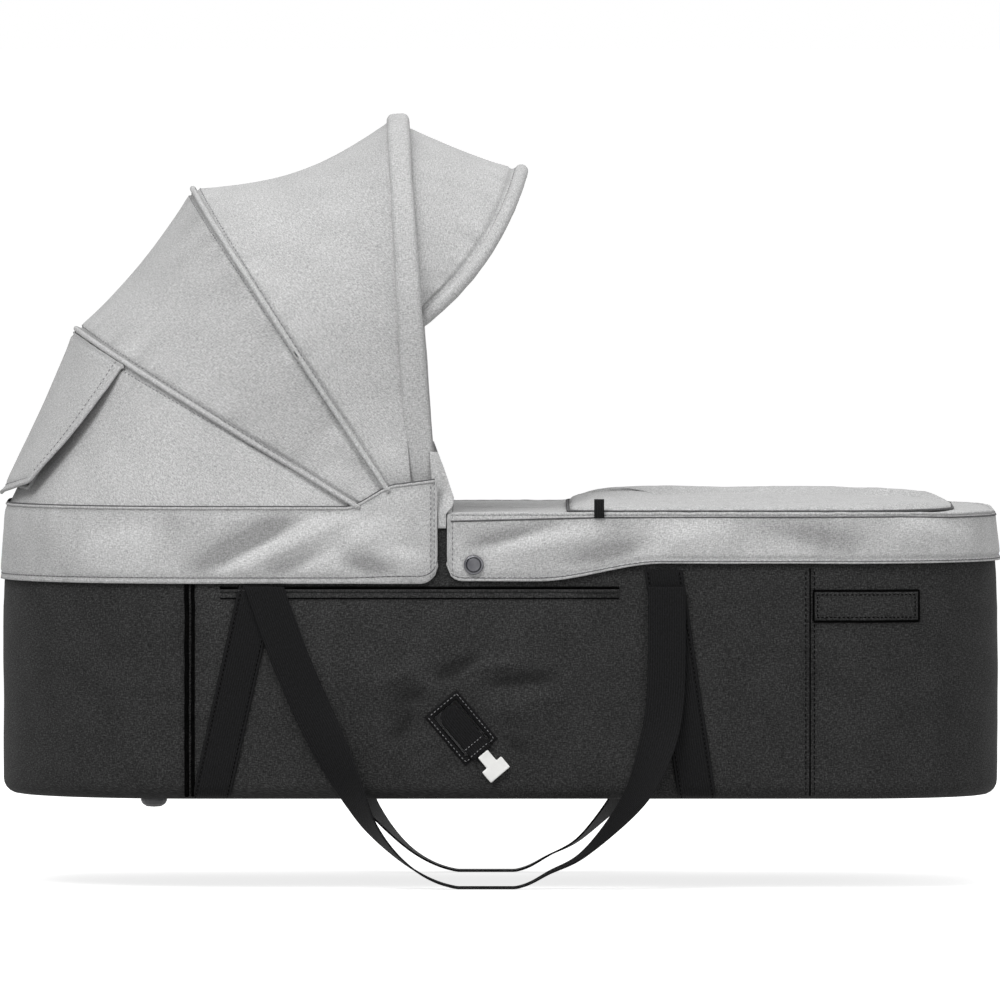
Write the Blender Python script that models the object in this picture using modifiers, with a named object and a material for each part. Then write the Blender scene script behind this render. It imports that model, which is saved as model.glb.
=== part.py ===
"""Carrycot with a folding canopy, a press-stud apron and webbing carry handles.

Metres, +Z up, +X towards the foot end. The origin is the centre of the base's underside.
Near pieces (y < 0) are named _right, far ones (y > 0) _left, as seen looking to the foot.
"""
import math

import bmesh
import bpy
from mathutils import Matrix, Vector

# Seats and clearances
GAP = 0.0003
SEAM = 0.0009
FOOT_SEAM = 0.0014
CUT_OVERRUN = 0.02

# Body: a stiffened fabric tub with unlike corner radii at its two ends
BODY_LENGTH = 0.796
BODY_WIDTH = 0.390
HEAD_CORNER = 0.160
FOOT_CORNER = 0.120
WALL_HEIGHT = 0.2265
SHELL_SKIN = 0.0025
BASE_ROUND = 0.012
WALL_LEAN_DEPTH = 0.0765
WALL_LEAN = 0.0038
STIFFENER_SKIN = 0.003
RIM_TUBE_RADIUS = 0.005
BOARD_THICKNESS = 0.005
LINER_SKIN = 0.003
LINER_FLOOR_INSET = 0.014
LINER_ROUND = 0.008
LINER_TOP_CLEARANCE = 0.001
LINER_HUB_CLEARANCE = 0.0045
MATTRESS_HEIGHT = 0.040
MATTRESS_CROWN = 0.006
MATTRESS_EDGE = 0.006
MATTRESS_SLOPE = 0.095
MATTRESS_CLEARANCE = 0.004

# Feet under the head end
FOOT_RADIUS = 0.0105
FOOT_PROUD = 0.007
FOOT_END_INSET = 0.122
FOOT_SIDE_INSET = 0.030

# Webbing
WEB_WIDTH = 0.030
WEB_THICKNESS = 0.0015
STRAP_FOOT_Z = 0.002
STRAP_TOP_DEPTH = 0.0435
HEAD_STRAP_X = (-0.230, -0.190)
FOOT_STRAP_X = (0.157, 0.130)

# Carry handles: a webbing loop on each side that hangs below the base
HANDLE_THICKNESS = 0.0016
HANDLE_STANDOFF = 0.005
HANDLE_HINGE_DEPTH = 0.057
HANDLE_HANG = 0.071
HANDLE_CLEAR_Z = -0.030
HANDLE_TUCK = 0.021
HANDLE_ROUTE_X = (
    -0.188, -0.161, -0.118, -0.098, -0.068, -0.034, 0.012, 0.040, 0.068, 0.106, 0.124, 0.132, 0.133,
)
HANDLE_DROP_SHARES = (
    0, 0.3015, 0.6798, 0.8212, 0.9418, 1, 1, 0.9480, 0.8815, 0.7048, 0.5385, 0.3514, 0,
)
TWIST_TOP_Z = 0.090
TWIST_DEG = 90.0
ANCHOR_HEIGHT = 0.0055
ANCHOR_WIDTH = 0.027

# Adapter ports in both sides, turned with the webbing tongue that comes out of them
PORT_X = -0.031
PORT_Z = 0.057
PORT_LENGTH = 0.051
PORT_WIDTH = 0.034
PORT_BAND = 0.0055
PORT_TURN_DEG = 50.0
PORT_FRAME_THICKNESS = 0.0012
TONGUE_WIDTH = 0.019
TONGUE_LENGTH = 0.0465
TONGUE_THICKNESS = 0.0018
TONGUE_CLEARANCE = 0.0006
CLIP_THICKNESS = 0.004
CLIP_STEM = (0.011, 0.010)
CLIP_BAR = (0.020, 0.011)

# Label patch, left bare
PATCH_END_INSET = 0.148
PATCH_LENGTH = 0.084
PATCH_DEPTH = 0.0845
PATCH_HEIGHT = 0.024
PATCH_THICKNESS = 0.0008

# Canopy bows on one rivet a side; the rear one stays up and the other two fold back to it
PIVOT_X = -0.060
PIVOT_DEPTH = 0.0265
BOW_THICKNESS = 0.003
BOW_WIDTH = 0.009
BOW_EYE_RADIUS = 0.009
BOW_EYE_HOLE = 0.0043
BOW_LAYER_PITCH = 0.0048
BOW_TENT = 0.0031
BOW_ARCH_RISE = 0.165
FRONT_BOW_LEAN_DEG = 3.7
MID_BOW_LEAN_DEG = 33.5
REAR_BOW_LEAN_DEG = 58.7
FRONT_BOW_RADIUS = 0.336
MID_BOW_RADIUS = 0.3339
REAR_BOW_RADIUS = 0.3219
RIVET_RADIUS = 0.004
RIVET_HEAD_RADIUS = 0.0075
RIVET_HEAD = 0.0012
HUB_RADIUS = 0.016
HUB_TOP_HALF_WIDTH = 0.026
HUB_THICKNESS = 0.0025

# Fabric sleeve on the front bow
SLEEVE_FOOT_RADIUS = 0.054
SLEEVE_SKIN = 0.001
SLEEVE_HALF_WIDTH_FOOT = 0.0100
SLEEVE_HALF_WIDTH_TOP = 0.0082
SLEEVE_PROUD_FOOT = 0.0032
SLEEVE_PROUD_TOP = 0.0080
SLEEVE_RISE_LENGTH = 0.120

# Canopy fabric
FABRIC = 0.0015
PANEL_FLARE_HEIGHT = 0.075
FRONT_PANEL_SAG = 0.013
MIDDLE_PANEL_SAG = 0.006
REAR_PANEL_SAG = 0.004
VENT_FLAP_SIDE_TOP = 0.077
VENT_FLAP_SIDE_FOOT = 0.095
VENT_FLAP_END_INSET = 0.0075
VENT_FLAP_FOOT_RISE = 0.004
VENT_FLAP_CORNER_LIFT = 0.012
VENT_FLAP_BULGE = 0.003
VENT_FLAP_STANDOFF = 0.004

# Sun visor in front of the front bow
VISOR_AXIS_RISE = 0.004
VISOR_LEAN_DEG = 35.7
VISOR_REACH = 0.1515
VISOR_BULGE = 0.013
VISOR_RIM_RADIUS = 0.0055
VISOR_SIDE_INSET = 0.0158
VISOR_ARCH_RISE = 0.148
VISOR_START = 0.024
VISOR_PIN_RADIUS = 0.0025

# Skirt round the head end and its rise over the hubs
SKIRT_FRONT_X = -0.050
SKIRT_HEM_DEPTH = 0.0545
SKIRT_TOP_RISE = 0.0055
SKIRT_RISE_X = -0.124
SKIRT_SHOULDER_X = -0.080
SKIRT_SHOULDER_RISE = 0.0235
SKIRT_FRONT_RISE = 0.0275
SKIRT_HEM_OFFSET = 0.0021
SKIRT_TOP_OFFSET = 0.0003
SKIRT_CORNER = 0.014
SKIRT_FOLD = 0.0012
SKIRT_FOLD_PITCH = 0.046

# Gusset between the front sleeve and the rim: height over the wall, start, stop, outward
GUSSET_ROWS = (
    (-0.0105, -0.0495, -0.0430, 0.0014), (0.0015, -0.0495, -0.0428, 0.0008),
    (0.0070, -0.0500, -0.0375, -0.0020), (0.0135, -0.0510, -0.0365, -0.0055),
    (0.0375, -0.0530, -0.0448, -0.0130), (0.0565, -0.0544, -0.0505, -0.0150),
)

# Apron over the foot end
APRON_FRONT_X = -0.042
APRON_HEM_FRONT_DEPTH = 0.0525
APRON_HEM_FOOT_DEPTH = 0.0385
APRON_HEM_RISE_X = (0.030, 0.130)
APRON_HEM_OFFSET = 0.0021
APRON_TOP_OFFSET = 0.0010
APRON_SKIN = 0.0015
APRON_ROUND = 0.003
APRON_CORNER = 0.012
PAD_START_X = 0.055
PAD_INSET = 0.007
PAD_HEIGHT = 0.0065
PAD_CORNER = 0.030
PAD_FOOT_INSET = 0.030
APRON_HINGE_DEPTH = 0.0615
TAB_X = 0.079
TAB_WIDTH = 0.008
TAB_HEIGHT = 0.016
TAB_FOOT_DEPTH = 0.0023
SNAP_X = -0.021
SNAP_DEPTH = 0.0395
SNAP_RADIUS = 0.008
SNAP_PROUD = 0.0028
STUD_RADIUS = 0.005
STUD_HEIGHT = 0.0007

# Values that follow from the ones above
HALF_LENGTH = BODY_LENGTH / 2
HALF_WIDTH = BODY_WIDTH / 2
WALL_LEAN_Z = WALL_HEIGHT - WALL_LEAN_DEPTH
FOOT_X = FOOT_END_INSET - HALF_LENGTH
FOOT_Y = HALF_WIDTH - FOOT_SIDE_INSET
STRAP_TOP_Z = WALL_HEIGHT - STRAP_TOP_DEPTH
HANDLE_Y = HALF_WIDTH + HANDLE_STANDOFF
HANDLE_HINGE_Z = WALL_HEIGHT - HANDLE_HINGE_DEPTH
PATCH_START_X = HALF_LENGTH - PATCH_END_INSET
PATCH_FOOT_Z = WALL_HEIGHT - PATCH_DEPTH
PIVOT_Z = WALL_HEIGHT - PIVOT_DEPTH
SKIRT_HEM_Z = WALL_HEIGHT - SKIRT_HEM_DEPTH
SKIRT_TOP_Z = WALL_HEIGHT + SKIRT_TOP_RISE
SKIRT_SHOULDER_Z = WALL_HEIGHT + SKIRT_SHOULDER_RISE
SKIRT_FRONT_Z = WALL_HEIGHT + SKIRT_FRONT_RISE
VENT_FLAP_FOOT_X = VENT_FLAP_END_INSET - HALF_LENGTH
VENT_FLAP_FOOT_Z = SKIRT_TOP_Z + VENT_FLAP_FOOT_RISE
APRON_HEM_FRONT_Z = WALL_HEIGHT - APRON_HEM_FRONT_DEPTH
APRON_HEM_FOOT_Z = WALL_HEIGHT - APRON_HEM_FOOT_DEPTH
APRON_HINGE_Z = WALL_HEIGHT - APRON_HINGE_DEPTH
TAB_FOOT_Z = WALL_HEIGHT - TAB_FOOT_DEPTH
SNAP_Z = WALL_HEIGHT - SNAP_DEPTH
RIM_TUBE_Z = WALL_HEIGHT - GAP - RIM_TUBE_RADIUS
RIM_TUBE_INSET = SHELL_SKIN + GAP + RIM_TUBE_RADIUS + WALL_LEAN
HUB_OUTER_Y = HALF_WIDTH - RIM_TUBE_INSET - RIM_TUBE_RADIUS - GAP
HUB_INNER_Y = HUB_OUTER_Y - HUB_THICKNESS
BOW_OUTER_HALF_WIDTH = HUB_INNER_Y - GAP - BOW_THICKNESS / 2
VISOR_HALF_WIDTH = BOW_OUTER_HALF_WIDTH - VISOR_SIDE_INSET
VISOR_AXIS_RADIUS = FRONT_BOW_RADIUS - BOW_ARCH_RISE + VISOR_AXIS_RISE
RIVET_IN_Y = BOW_OUTER_HALF_WIDTH - 2 * BOW_LAYER_PITCH - BOW_THICKNESS / 2 - GAP
LINER_TOP_INSET = HALF_WIDTH - HUB_INNER_Y + LINER_HUB_CLEARANCE
LINER_TOP = PIVOT_Z - BOW_EYE_RADIUS - LINER_TOP_CLEARANCE
BOARD_Z = SHELL_SKIN + GAP
LINER_Z = BOARD_Z + BOARD_THICKNESS + GAP
DECK_Z = WALL_HEIGHT + GAP + APRON_SKIN
TONGUE_START = PORT_BAND - PORT_LENGTH / 2
TONGUE_Y = HALF_WIDTH + GAP + PORT_FRAME_THICKNESS + TONGUE_CLEARANCE
PIVOT = Vector((PIVOT_X, 0, PIVOT_Z))

CORNER_STEPS = 8
ARCH_STEPS = 9
SIDES = (("right", -1), ("left", 1))

PARTS = bpy.data.collections.new("carrycot")
CUTTERS = bpy.data.collections.new("cutters")

FINISHES = {
    "charcoal_fabric": ((0.036, 0.037, 0.040), 0.92, 0.0),
    "grey_fabric": ((0.52, 0.53, 0.54), 0.90, 0.0),
    "lining_fabric": ((0.60, 0.61, 0.62), 0.92, 0.0),
    "black_webbing": ((0.014, 0.014, 0.015), 0.75, 0.0),
    "black_plastic": ((0.020, 0.020, 0.022), 0.45, 0.0),
    "white_plastic": ((0.86, 0.86, 0.84), 0.35, 0.0),
    "dark_snap": ((0.10, 0.10, 0.11), 0.40, 0.0),
    "steel": ((0.55, 0.56, 0.57), 0.35, 1.0),
    "board": ((0.30, 0.28, 0.25), 0.85, 0.0),
    "mesh_net": ((0.10, 0.10, 0.11), 0.85, 0.0),
    "mattress_fabric": ((0.78, 0.78, 0.77), 0.92, 0.0),
}


def start_clean():
    """Empty the file and link the two collections."""
    for old in list(bpy.data.objects):
        bpy.data.objects.remove(old, do_unlink=True)
    for group in (PARTS, CUTTERS):
        bpy.context.scene.collection.children.link(group)


def finish_material(finish):
    """The Principled material of one finish, made once."""
    if finish in bpy.data.materials:
        return bpy.data.materials[finish]
    color, roughness, metallic = FINISHES[finish]
    material = bpy.data.materials.new(finish)
    material.use_nodes = True
    shader = material.node_tree.nodes["Principled BSDF"]
    shader.inputs["Base Color"].default_value = (*color, 1)
    shader.inputs["Roughness"].default_value = roughness
    shader.inputs["Metallic"].default_value = metallic
    return material


def smooth_step(share):
    """0 to 1 with level ends."""
    share = min(max(share, 0), 1)
    return share * share * (3 - 2 * share)


# Mesh helpers


def add_mesh(name, bm, finish, group=None):
    """Turn a bmesh into a named, smooth-shaded object."""
    mesh = bpy.data.meshes.new(name)
    bm.to_mesh(mesh)
    bm.free()
    item = bpy.data.objects.new(name, mesh)
    (group or PARTS).objects.link(item)
    if finish:
        mesh.materials.append(finish_material(finish))
    mesh.shade_smooth()
    mesh.set_sharp_from_angle(angle=math.radians(40))
    return item


def face_outward(bm, inside):
    """Flip an open surface so that it faces away from the point inside it."""
    bm.normal_update()
    facing = sum((f.calc_center_median() - inside).dot(f.normal) * f.calc_area() for f in bm.faces)
    if facing < 0:
        bmesh.ops.reverse_faces(bm, faces=bm.faces[:])


def thicken(item, thickness, outward):
    """Solidify an open surface to one side of itself, or to both for outward 0."""
    solid = item.modifiers.new("thickness", "SOLIDIFY")
    solid.thickness = thickness
    solid.offset = outward
    solid.use_even_offset = True
    return item


def sheet(name, rows, finish, thickness, inside, outward=1, closed=False, floor=False, skip=None):
    """A sheet lofted through rows of points and thickened. skip(i, j) leaves a face out."""
    bm = bmesh.new()
    grid = [[bm.verts.new(point) for point in row] for row in rows]
    count = len(grid[0])
    for i in range(len(grid) - 1):
        for j in range(count if closed else count - 1):
            if skip and skip(i, j):
                continue
            k = (j + 1) % count
            bm.faces.new((grid[i][j], grid[i][k], grid[i + 1][k], grid[i + 1][j]))
    if floor:
        bm.faces.new(grid[0])
    bmesh.ops.recalc_face_normals(bm, faces=bm.faces[:])
    bmesh.ops.delete(bm, geom=[v for v in bm.verts if not v.link_faces], context="VERTS")
    face_outward(bm, Vector(inside))
    return thicken(add_mesh(name, bm, finish), thickness, outward)


def solid_loft(name, rings, finish):
    """A closed solid through closed rings of points, capped at both ends."""
    bm = bmesh.new()
    grid = [[bm.verts.new(point) for point in ring] for ring in rings]
    count = len(grid[0])
    for lower, upper in zip(grid, grid[1:]):
        for j in range(count):
            k = (j + 1) % count
            bm.faces.new((lower[j], lower[k], upper[k], upper[j]))
    bm.faces.new(grid[0])
    bm.faces.new(grid[-1])
    bmesh.ops.recalc_face_normals(bm, faces=bm.faces[:])
    return add_mesh(name, bm, finish)


def turned(name, profile, place, axis, finish, steps=16):
    """A profile of (radius, height) turned about the axis through a place."""
    bm = bmesh.new()
    points = [bm.verts.new((radius, 0, height)) for radius, height in profile]
    for one, two in zip(points, points[1:]):
        bm.edges.new((one, two))
    item = add_mesh(name, bm, finish)
    screw = item.modifiers.new("turn", "SCREW")
    screw.steps = screw.render_steps = steps
    screw.use_merge_vertices = True
    screw.merge_threshold = 0.00002
    item.location = place
    item.rotation_euler = Vector(axis).to_track_quat("Z", "Y").to_euler()
    return item


def tube(name, points, radius, finish, cyclic=False, resolution=1):
    """A round tube along points, with filled ends."""
    curve = bpy.data.curves.new(name, "CURVE")
    curve.dimensions = "3D"
    curve.bevel_depth = radius
    curve.bevel_resolution = resolution
    curve.use_fill_caps = True
    spline = curve.splines.new("POLY")
    spline.points.add(len(points) - 1)
    for target, point in zip(spline.points, points):
        target.co = (*point, 1)
    spline.use_cyclic_u = cyclic
    item = bpy.data.objects.new(name, curve)
    PARTS.objects.link(item)
    curve.materials.append(finish_material(finish))
    return item


def cutter(name, bm):
    """A Boolean cutter that the build leaves out."""
    item = add_mesh(name, bm, None, CUTTERS)
    item.hide_render = True
    item.display_type = "WIRE"
    return item


def cut(item, tool):
    """Take the tool's volume out of the item."""
    boolean = item.modifiers.new("cut", "BOOLEAN")
    boolean.operation = "DIFFERENCE"
    boolean.object = tool


# Body outline


def end_path(end, offset, stations):
    """Outline round one end: end is 1 for the foot or -1 for the head.

    Starts on the near side at the first station and stops on the far side there.
    """
    corner = FOOT_CORNER if end > 0 else HEAD_CORNER
    centre_x = end * (HALF_LENGTH - corner)
    centre_y = HALF_WIDTH - corner
    radius = corner + offset
    near = [(x, -HALF_WIDTH - offset) for x in stations]
    for step in range(CORNER_STEPS + 1):
        turn = math.pi / 2 * step / CORNER_STEPS
        near.append((centre_x + end * radius * math.sin(turn),
                     -centre_y - radius * math.cos(turn)))
    return near + [(x, -y) for x, y in reversed(near)]


def outline(offset):
    """The whole plan outline, moved outward by offset."""
    foot = end_path(1, offset, (0,))
    head = end_path(-1, offset, (0,))
    return foot + head[::-1][1:-1]


def plan_half_width(x, offset=0):
    """Half the body's width at x, on the outline moved outward by offset."""
    corner = FOOT_CORNER if x > 0 else HEAD_CORNER
    along = abs(x) - (HALF_LENGTH - corner)
    if along <= 0:
        return HALF_WIDTH + offset
    radius = corner + offset
    return HALF_WIDTH - corner + math.sqrt(max(radius * radius - along * along, 0))


def lean_in(z):
    """How far the wall leans in above its fullest height."""
    return WALL_LEAN * max(z - WALL_LEAN_Z, 0) / (WALL_HEIGHT - WALL_LEAN_Z)


def wall_y(x, z, offset):
    """Distance from the middle plane to the outside of the wall, offset outward."""
    under = max(BASE_ROUND - z, 0)
    radius = BASE_ROUND + offset
    tuck = radius - math.sqrt(radius * radius - under * under)
    return plan_half_width(x, offset - lean_in(z)) - tuck


def ring(offset, z):
    """The plan outline as points at one height."""
    return [Vector((x, y, z)) for x, y in outline(offset)]


def round_rings(offset, radius, z, steps=4):
    """Rings of a rounded lower edge that ends in a vertical wall at offset."""
    rings = []
    for step in range(steps + 1):
        turn = math.pi / 2 * step / steps
        rings.append(ring(offset - radius * (1 - math.sin(turn)), z + radius * (1 - math.cos(turn))))
    return rings


# Adapter ports


def port_direction():
    """The port's long axis in the side plane, pointing down to the foot."""
    turn = math.radians(PORT_TURN_DEG)
    return Vector((math.cos(turn), 0, -math.sin(turn)))


def port_cross():
    """The port's short axis in the side plane, pointing up to the foot."""
    along = port_direction()
    return Vector((-along.z, 0, along.x))


def port_point(along, across, y):
    """A point from the port's centre by its own two axes."""
    centre = Vector((PORT_X, y, PORT_Z))
    return centre + port_direction() * along + port_cross() * across


def port_cutter():
    """One bar through both walls with the port's clear section."""
    bm = bmesh.new()
    bmesh.ops.create_cube(bm, size=1)
    clear_length = PORT_LENGTH - 2 * PORT_BAND
    clear_width = PORT_WIDTH - 2 * PORT_BAND
    bmesh.ops.scale(bm, verts=bm.verts, vec=(clear_length, BODY_WIDTH + CUT_OVERRUN, clear_width))
    turn = Matrix.Rotation(math.radians(PORT_TURN_DEG), 4, "Y")
    bmesh.ops.transform(bm, verts=bm.verts, matrix=turn)
    bmesh.ops.translate(bm, verts=bm.verts, vec=(PORT_X, 0, PORT_Z))
    return cutter("port_cutter", bm)


def make_ports():
    """Stitched frames round the ports, with a tongue and a T-clip in each."""
    ring_share = ((-1, -1), (1, -1), (1, 1), (-1, 1))
    for side, sign in SIDES:
        seat = sign * (HALF_WIDTH + GAP)
        outer = [port_point(PORT_LENGTH / 2 * a, PORT_WIDTH / 2 * b, seat) for a, b in ring_share]
        inner = [port_point((PORT_LENGTH / 2 - PORT_BAND) * a, (PORT_WIDTH / 2 - PORT_BAND) * b, seat)
                 for a, b in ring_share]
        sheet(f"port_frame_{side}", [outer, inner], "black_webbing", PORT_FRAME_THICKNESS,
              (PORT_X, 0, PORT_Z), closed=True)
        make_tongue(side, sign)


def make_tongue(side, sign):
    """The webbing tongue, round at its top, and the T-clip on its end."""
    half = TONGUE_WIDTH / 2
    start = TONGUE_START + half
    rows = []
    for turn_share in (0.88, 0.7, 0.53, 0.35, 0.18, 0):
        turn = math.pi / 2 * turn_share
        rows.append((start - half * math.sin(turn), half * math.cos(turn)))
    end = TONGUE_START + TONGUE_LENGTH
    rows.append((end, half))
    points = [[port_point(along, -reach, sign * TONGUE_Y), port_point(along, reach, sign * TONGUE_Y)]
              for along, reach in rows]
    sheet(f"clip_tongue_{side}", points, "black_webbing", TONGUE_THICKNESS, (PORT_X, 0, PORT_Z))
    clip_seat = TONGUE_Y + TONGUE_THICKNESS / 2
    stem_length, stem_width = CLIP_STEM
    bar_width, bar_length = CLIP_BAR
    stem_start = end + GAP
    stem_end = stem_start + stem_length
    side_a = [(stem_start, stem_width / 2), (stem_end, stem_width / 2), (stem_end, bar_width / 2),
              (stem_end + bar_length, bar_width / 2)]
    shape = side_a + [(along, -reach) for along, reach in reversed(side_a)]
    low = [port_point(a, b, sign * (clip_seat - CLIP_THICKNESS / 2)) for a, b in shape]
    high = [port_point(a, b, sign * (clip_seat + CLIP_THICKNESS / 2)) for a, b in shape]
    clip = solid_loft(f"t_clip_{side}", [low, high], "white_plastic")
    round_edges(clip, CLIP_THICKNESS / 5)


def round_edges(item, radius, segments=2):
    """Bevel the sharp edges of a rigid piece."""
    bevel = item.modifiers.new("edges", "BEVEL")
    bevel.width = radius
    bevel.segments = segments
    bevel.limit_method = "ANGLE"
    bevel.angle_limit = math.radians(40)


# Body pieces


def make_body(port_tool):
    """Shell, stiffener, rim tube, base board, liner and mattress."""
    middle = (0, 0, WALL_HEIGHT / 2)
    shell_rings = round_rings(0, BASE_ROUND, 0)
    shell_rings += [ring(0, WALL_LEAN_Z), ring(-WALL_LEAN, WALL_HEIGHT)]
    shell = sheet("outer_shell", shell_rings, "charcoal_fabric", SHELL_SKIN, middle,
                  outward=-1, closed=True, floor=True)
    cut(shell, port_tool)

    stiffener_offset = -SHELL_SKIN - GAP
    stiffener_top = RIM_TUBE_Z - RIM_TUBE_RADIUS - GAP
    stiffener_rings = [ring(stiffener_offset - lean_in(z), z)
                       for z in (BASE_ROUND, WALL_LEAN_Z, stiffener_top)]
    stiffener = sheet("wall_stiffener", stiffener_rings, "board", STIFFENER_SKIN, middle,
                      outward=-1, closed=True)
    cut(stiffener, port_tool)

    tube("rim_frame", ring(-RIM_TUBE_INSET, RIM_TUBE_Z), RIM_TUBE_RADIUS, "steel",
         cyclic=True, resolution=2)

    board_offset = -BASE_ROUND
    solid_loft("base_board", [ring(board_offset, BOARD_Z), ring(board_offset, BOARD_Z + BOARD_THICKNESS)],
               "board")

    liner_rings = round_rings(-LINER_FLOOR_INSET, LINER_ROUND, LINER_Z, steps=3)
    liner_rings.append(ring(-LINER_TOP_INSET, LINER_TOP))
    sheet("inner_liner", liner_rings, "lining_fabric", LINER_SKIN, middle,
          outward=-1, closed=True, floor=True)
    make_mattress()


def liner_inset(z):
    """How far the liner's outside stands in from the body's outline at a height."""
    share = (z - LINER_Z - LINER_ROUND) / (LINER_TOP - LINER_Z - LINER_ROUND)
    return LINER_FLOOR_INSET + max(share, 0) * (LINER_TOP_INSET - LINER_FLOOR_INSET)


def make_mattress():
    """A crowned pad with drawn-in edges on the liner's floor."""
    floor_z = LINER_Z + LINER_SKIN + GAP
    inset = liner_inset(floor_z + MATTRESS_HEIGHT) + LINER_SKIN + MATTRESS_CLEARANCE
    edge_shares = ((1, 0), (0, 0.18), (0, 0.5), (0, 0.8), (1, 1))
    crown_shares = ((0.32, 0.45), (0.64, 0.8), (1, 1))
    rings = [ring(-inset - MATTRESS_EDGE * drawn, floor_z + MATTRESS_HEIGHT * rise)
             for drawn, rise in edge_shares]
    rings += [ring(-inset - MATTRESS_SLOPE * reach,
                   floor_z + MATTRESS_HEIGHT + MATTRESS_CROWN * rise)
              for reach, rise in crown_shares]
    solid_loft("mattress", rings, "mattress_fabric")


def make_feet():
    """Two domed feet under the head end."""
    profile_shares = ((0.0, 1.0), (0.55, 0.93), (0.86, 0.62), (1.0, 0.22), (1.0, 0.0), (0.0, 0.0))
    for side, sign in SIDES:
        profile = [(FOOT_RADIUS * a, GAP + (FOOT_PROUD - GAP) * b) for a, b in profile_shares]
        turned(f"base_foot_{side}", profile, (FOOT_X, sign * FOOT_Y, 0), (0, 0, -1), "black_plastic")


def draped_patch(name, sign, low, high, width, thickness, offset, finish):
    """A flat strip laid on the outside of the wall between two (x, z) points."""
    start, stop = Vector(low), Vector(high)
    level = width / 2 * (stop - start).length / (stop.y - start.y)
    across = Vector((level, 0))
    steps = 5
    heights = [start.y + (BASE_ROUND - start.y) * step / steps for step in range(steps + 1)]
    points = []
    for height in heights + [WALL_LEAN_Z, stop.y]:
        centre = start.lerp(stop, (height - start.y) / (stop.y - start.y))
        row = []
        for part in (-1, -0.33, 0.33, 1):
            spot = centre + across * part
            row.append(Vector((spot.x, sign * wall_y(spot.x, spot.y, offset), spot.y)))
        points.append(row)
    sheet(name, points, finish, thickness, (start.x, 0, (start.y + stop.y) / 2))


def make_sewn_straps():
    """Load straps sewn up the outside of both walls."""
    for side, sign in SIDES:
        for end, (foot_x, top_x) in (("head", HEAD_STRAP_X), ("foot", FOOT_STRAP_X)):
            draped_patch(f"sewn_strap_{end}_{side}", sign, (foot_x, STRAP_FOOT_Z),
                         (top_x, STRAP_TOP_Z), WEB_WIDTH, WEB_THICKNESS, GAP, "black_webbing")


def make_patches():
    """The bare label patch on each side, which follows the foot corner."""
    for side, sign in SIDES:
        rows = []
        for step in range(9):
            x = PATCH_START_X + PATCH_LENGTH * step / 8
            rows.append([Vector((x, sign * wall_y(x, z, GAP), z))
                         for z in (PATCH_FOOT_Z, PATCH_FOOT_Z + PATCH_HEIGHT)])
        sheet(f"label_patch_{side}", rows, "charcoal_fabric", PATCH_THICKNESS,
              (PATCH_START_X, 0, PATCH_FOOT_Z))


# Carry handles


def catmull(points, share):
    """A point on a smooth open curve through points, by share of its segments."""
    spans = len(points) - 1
    place = min(share * spans, spans - 1e-9)
    k = int(place)
    t = place - k
    p0 = points[max(k - 1, 0)]
    p1, p2 = points[k], points[k + 1]
    p3 = points[min(k + 2, spans)]
    return 0.5 * ((2 * p1) + (p2 - p0) * t + (2 * p0 - 5 * p1 + 4 * p2 - p3) * t * t
                  + (3 * p1 - p0 - 3 * p2 + p3) * t ** 3)


def handle_section(sign, route, share):
    """The two edges of one handle's webbing at a share of its route.

    It stands clear of the wall and curls in under the base, level at its bottom.
    """
    point = catmull(route, share)
    point.z = max(point.z, -HANDLE_HANG)
    step_share = 0.005
    after, before = min(share + step_share, 1), max(share - step_share, 0)
    along = (catmull(route, after) - catmull(route, before)).normalized()
    square = Vector((-along.z, 0, along.x))
    if square.x < 0:
        square = -square
    level = Vector((1 / max(abs(along.z), 0.5), 0, 0))
    flat = square.lerp(level, smooth_step((point.z - TWIST_TOP_Z / 2) / (TWIST_TOP_Z / 2)))
    twist = math.radians(TWIST_DEG) * smooth_step(
        (TWIST_TOP_Z - point.z) / (TWIST_TOP_Z + HANDLE_HANG))
    outward = WEB_WIDTH / 2 * math.sin(twist)
    outward *= smooth_step((point.z - HANDLE_CLEAR_Z * 2) / -HANDLE_CLEAR_Z)
    outward -= HANDLE_TUCK * smooth_step(-point.z / HANDLE_HANG)
    spread = flat * math.cos(twist) + Vector((0, sign, 0)) * math.sin(twist)
    middle = Vector((point.x, sign * (HANDLE_Y + outward), point.z))
    return middle - spread * WEB_WIDTH / 2, middle + spread * WEB_WIDTH / 2


def make_handles():
    """Each handle is one length of webbing, sewn to an anchor at either end."""
    route = [Vector((x, 0, HANDLE_HINGE_Z - share * (HANDLE_HINGE_Z + HANDLE_HANG)))
             for x, share in zip(HANDLE_ROUTE_X, HANDLE_DROP_SHARES)]
    steps = 48
    for side, sign in SIDES:
        pairs = [handle_section(sign, route, step / steps) for step in range(steps + 1)]
        sheet(f"handle_webbing_{side}", pairs, "black_webbing", HANDLE_THICKNESS,
              (0, 0, WALL_HEIGHT), outward=0)


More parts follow.
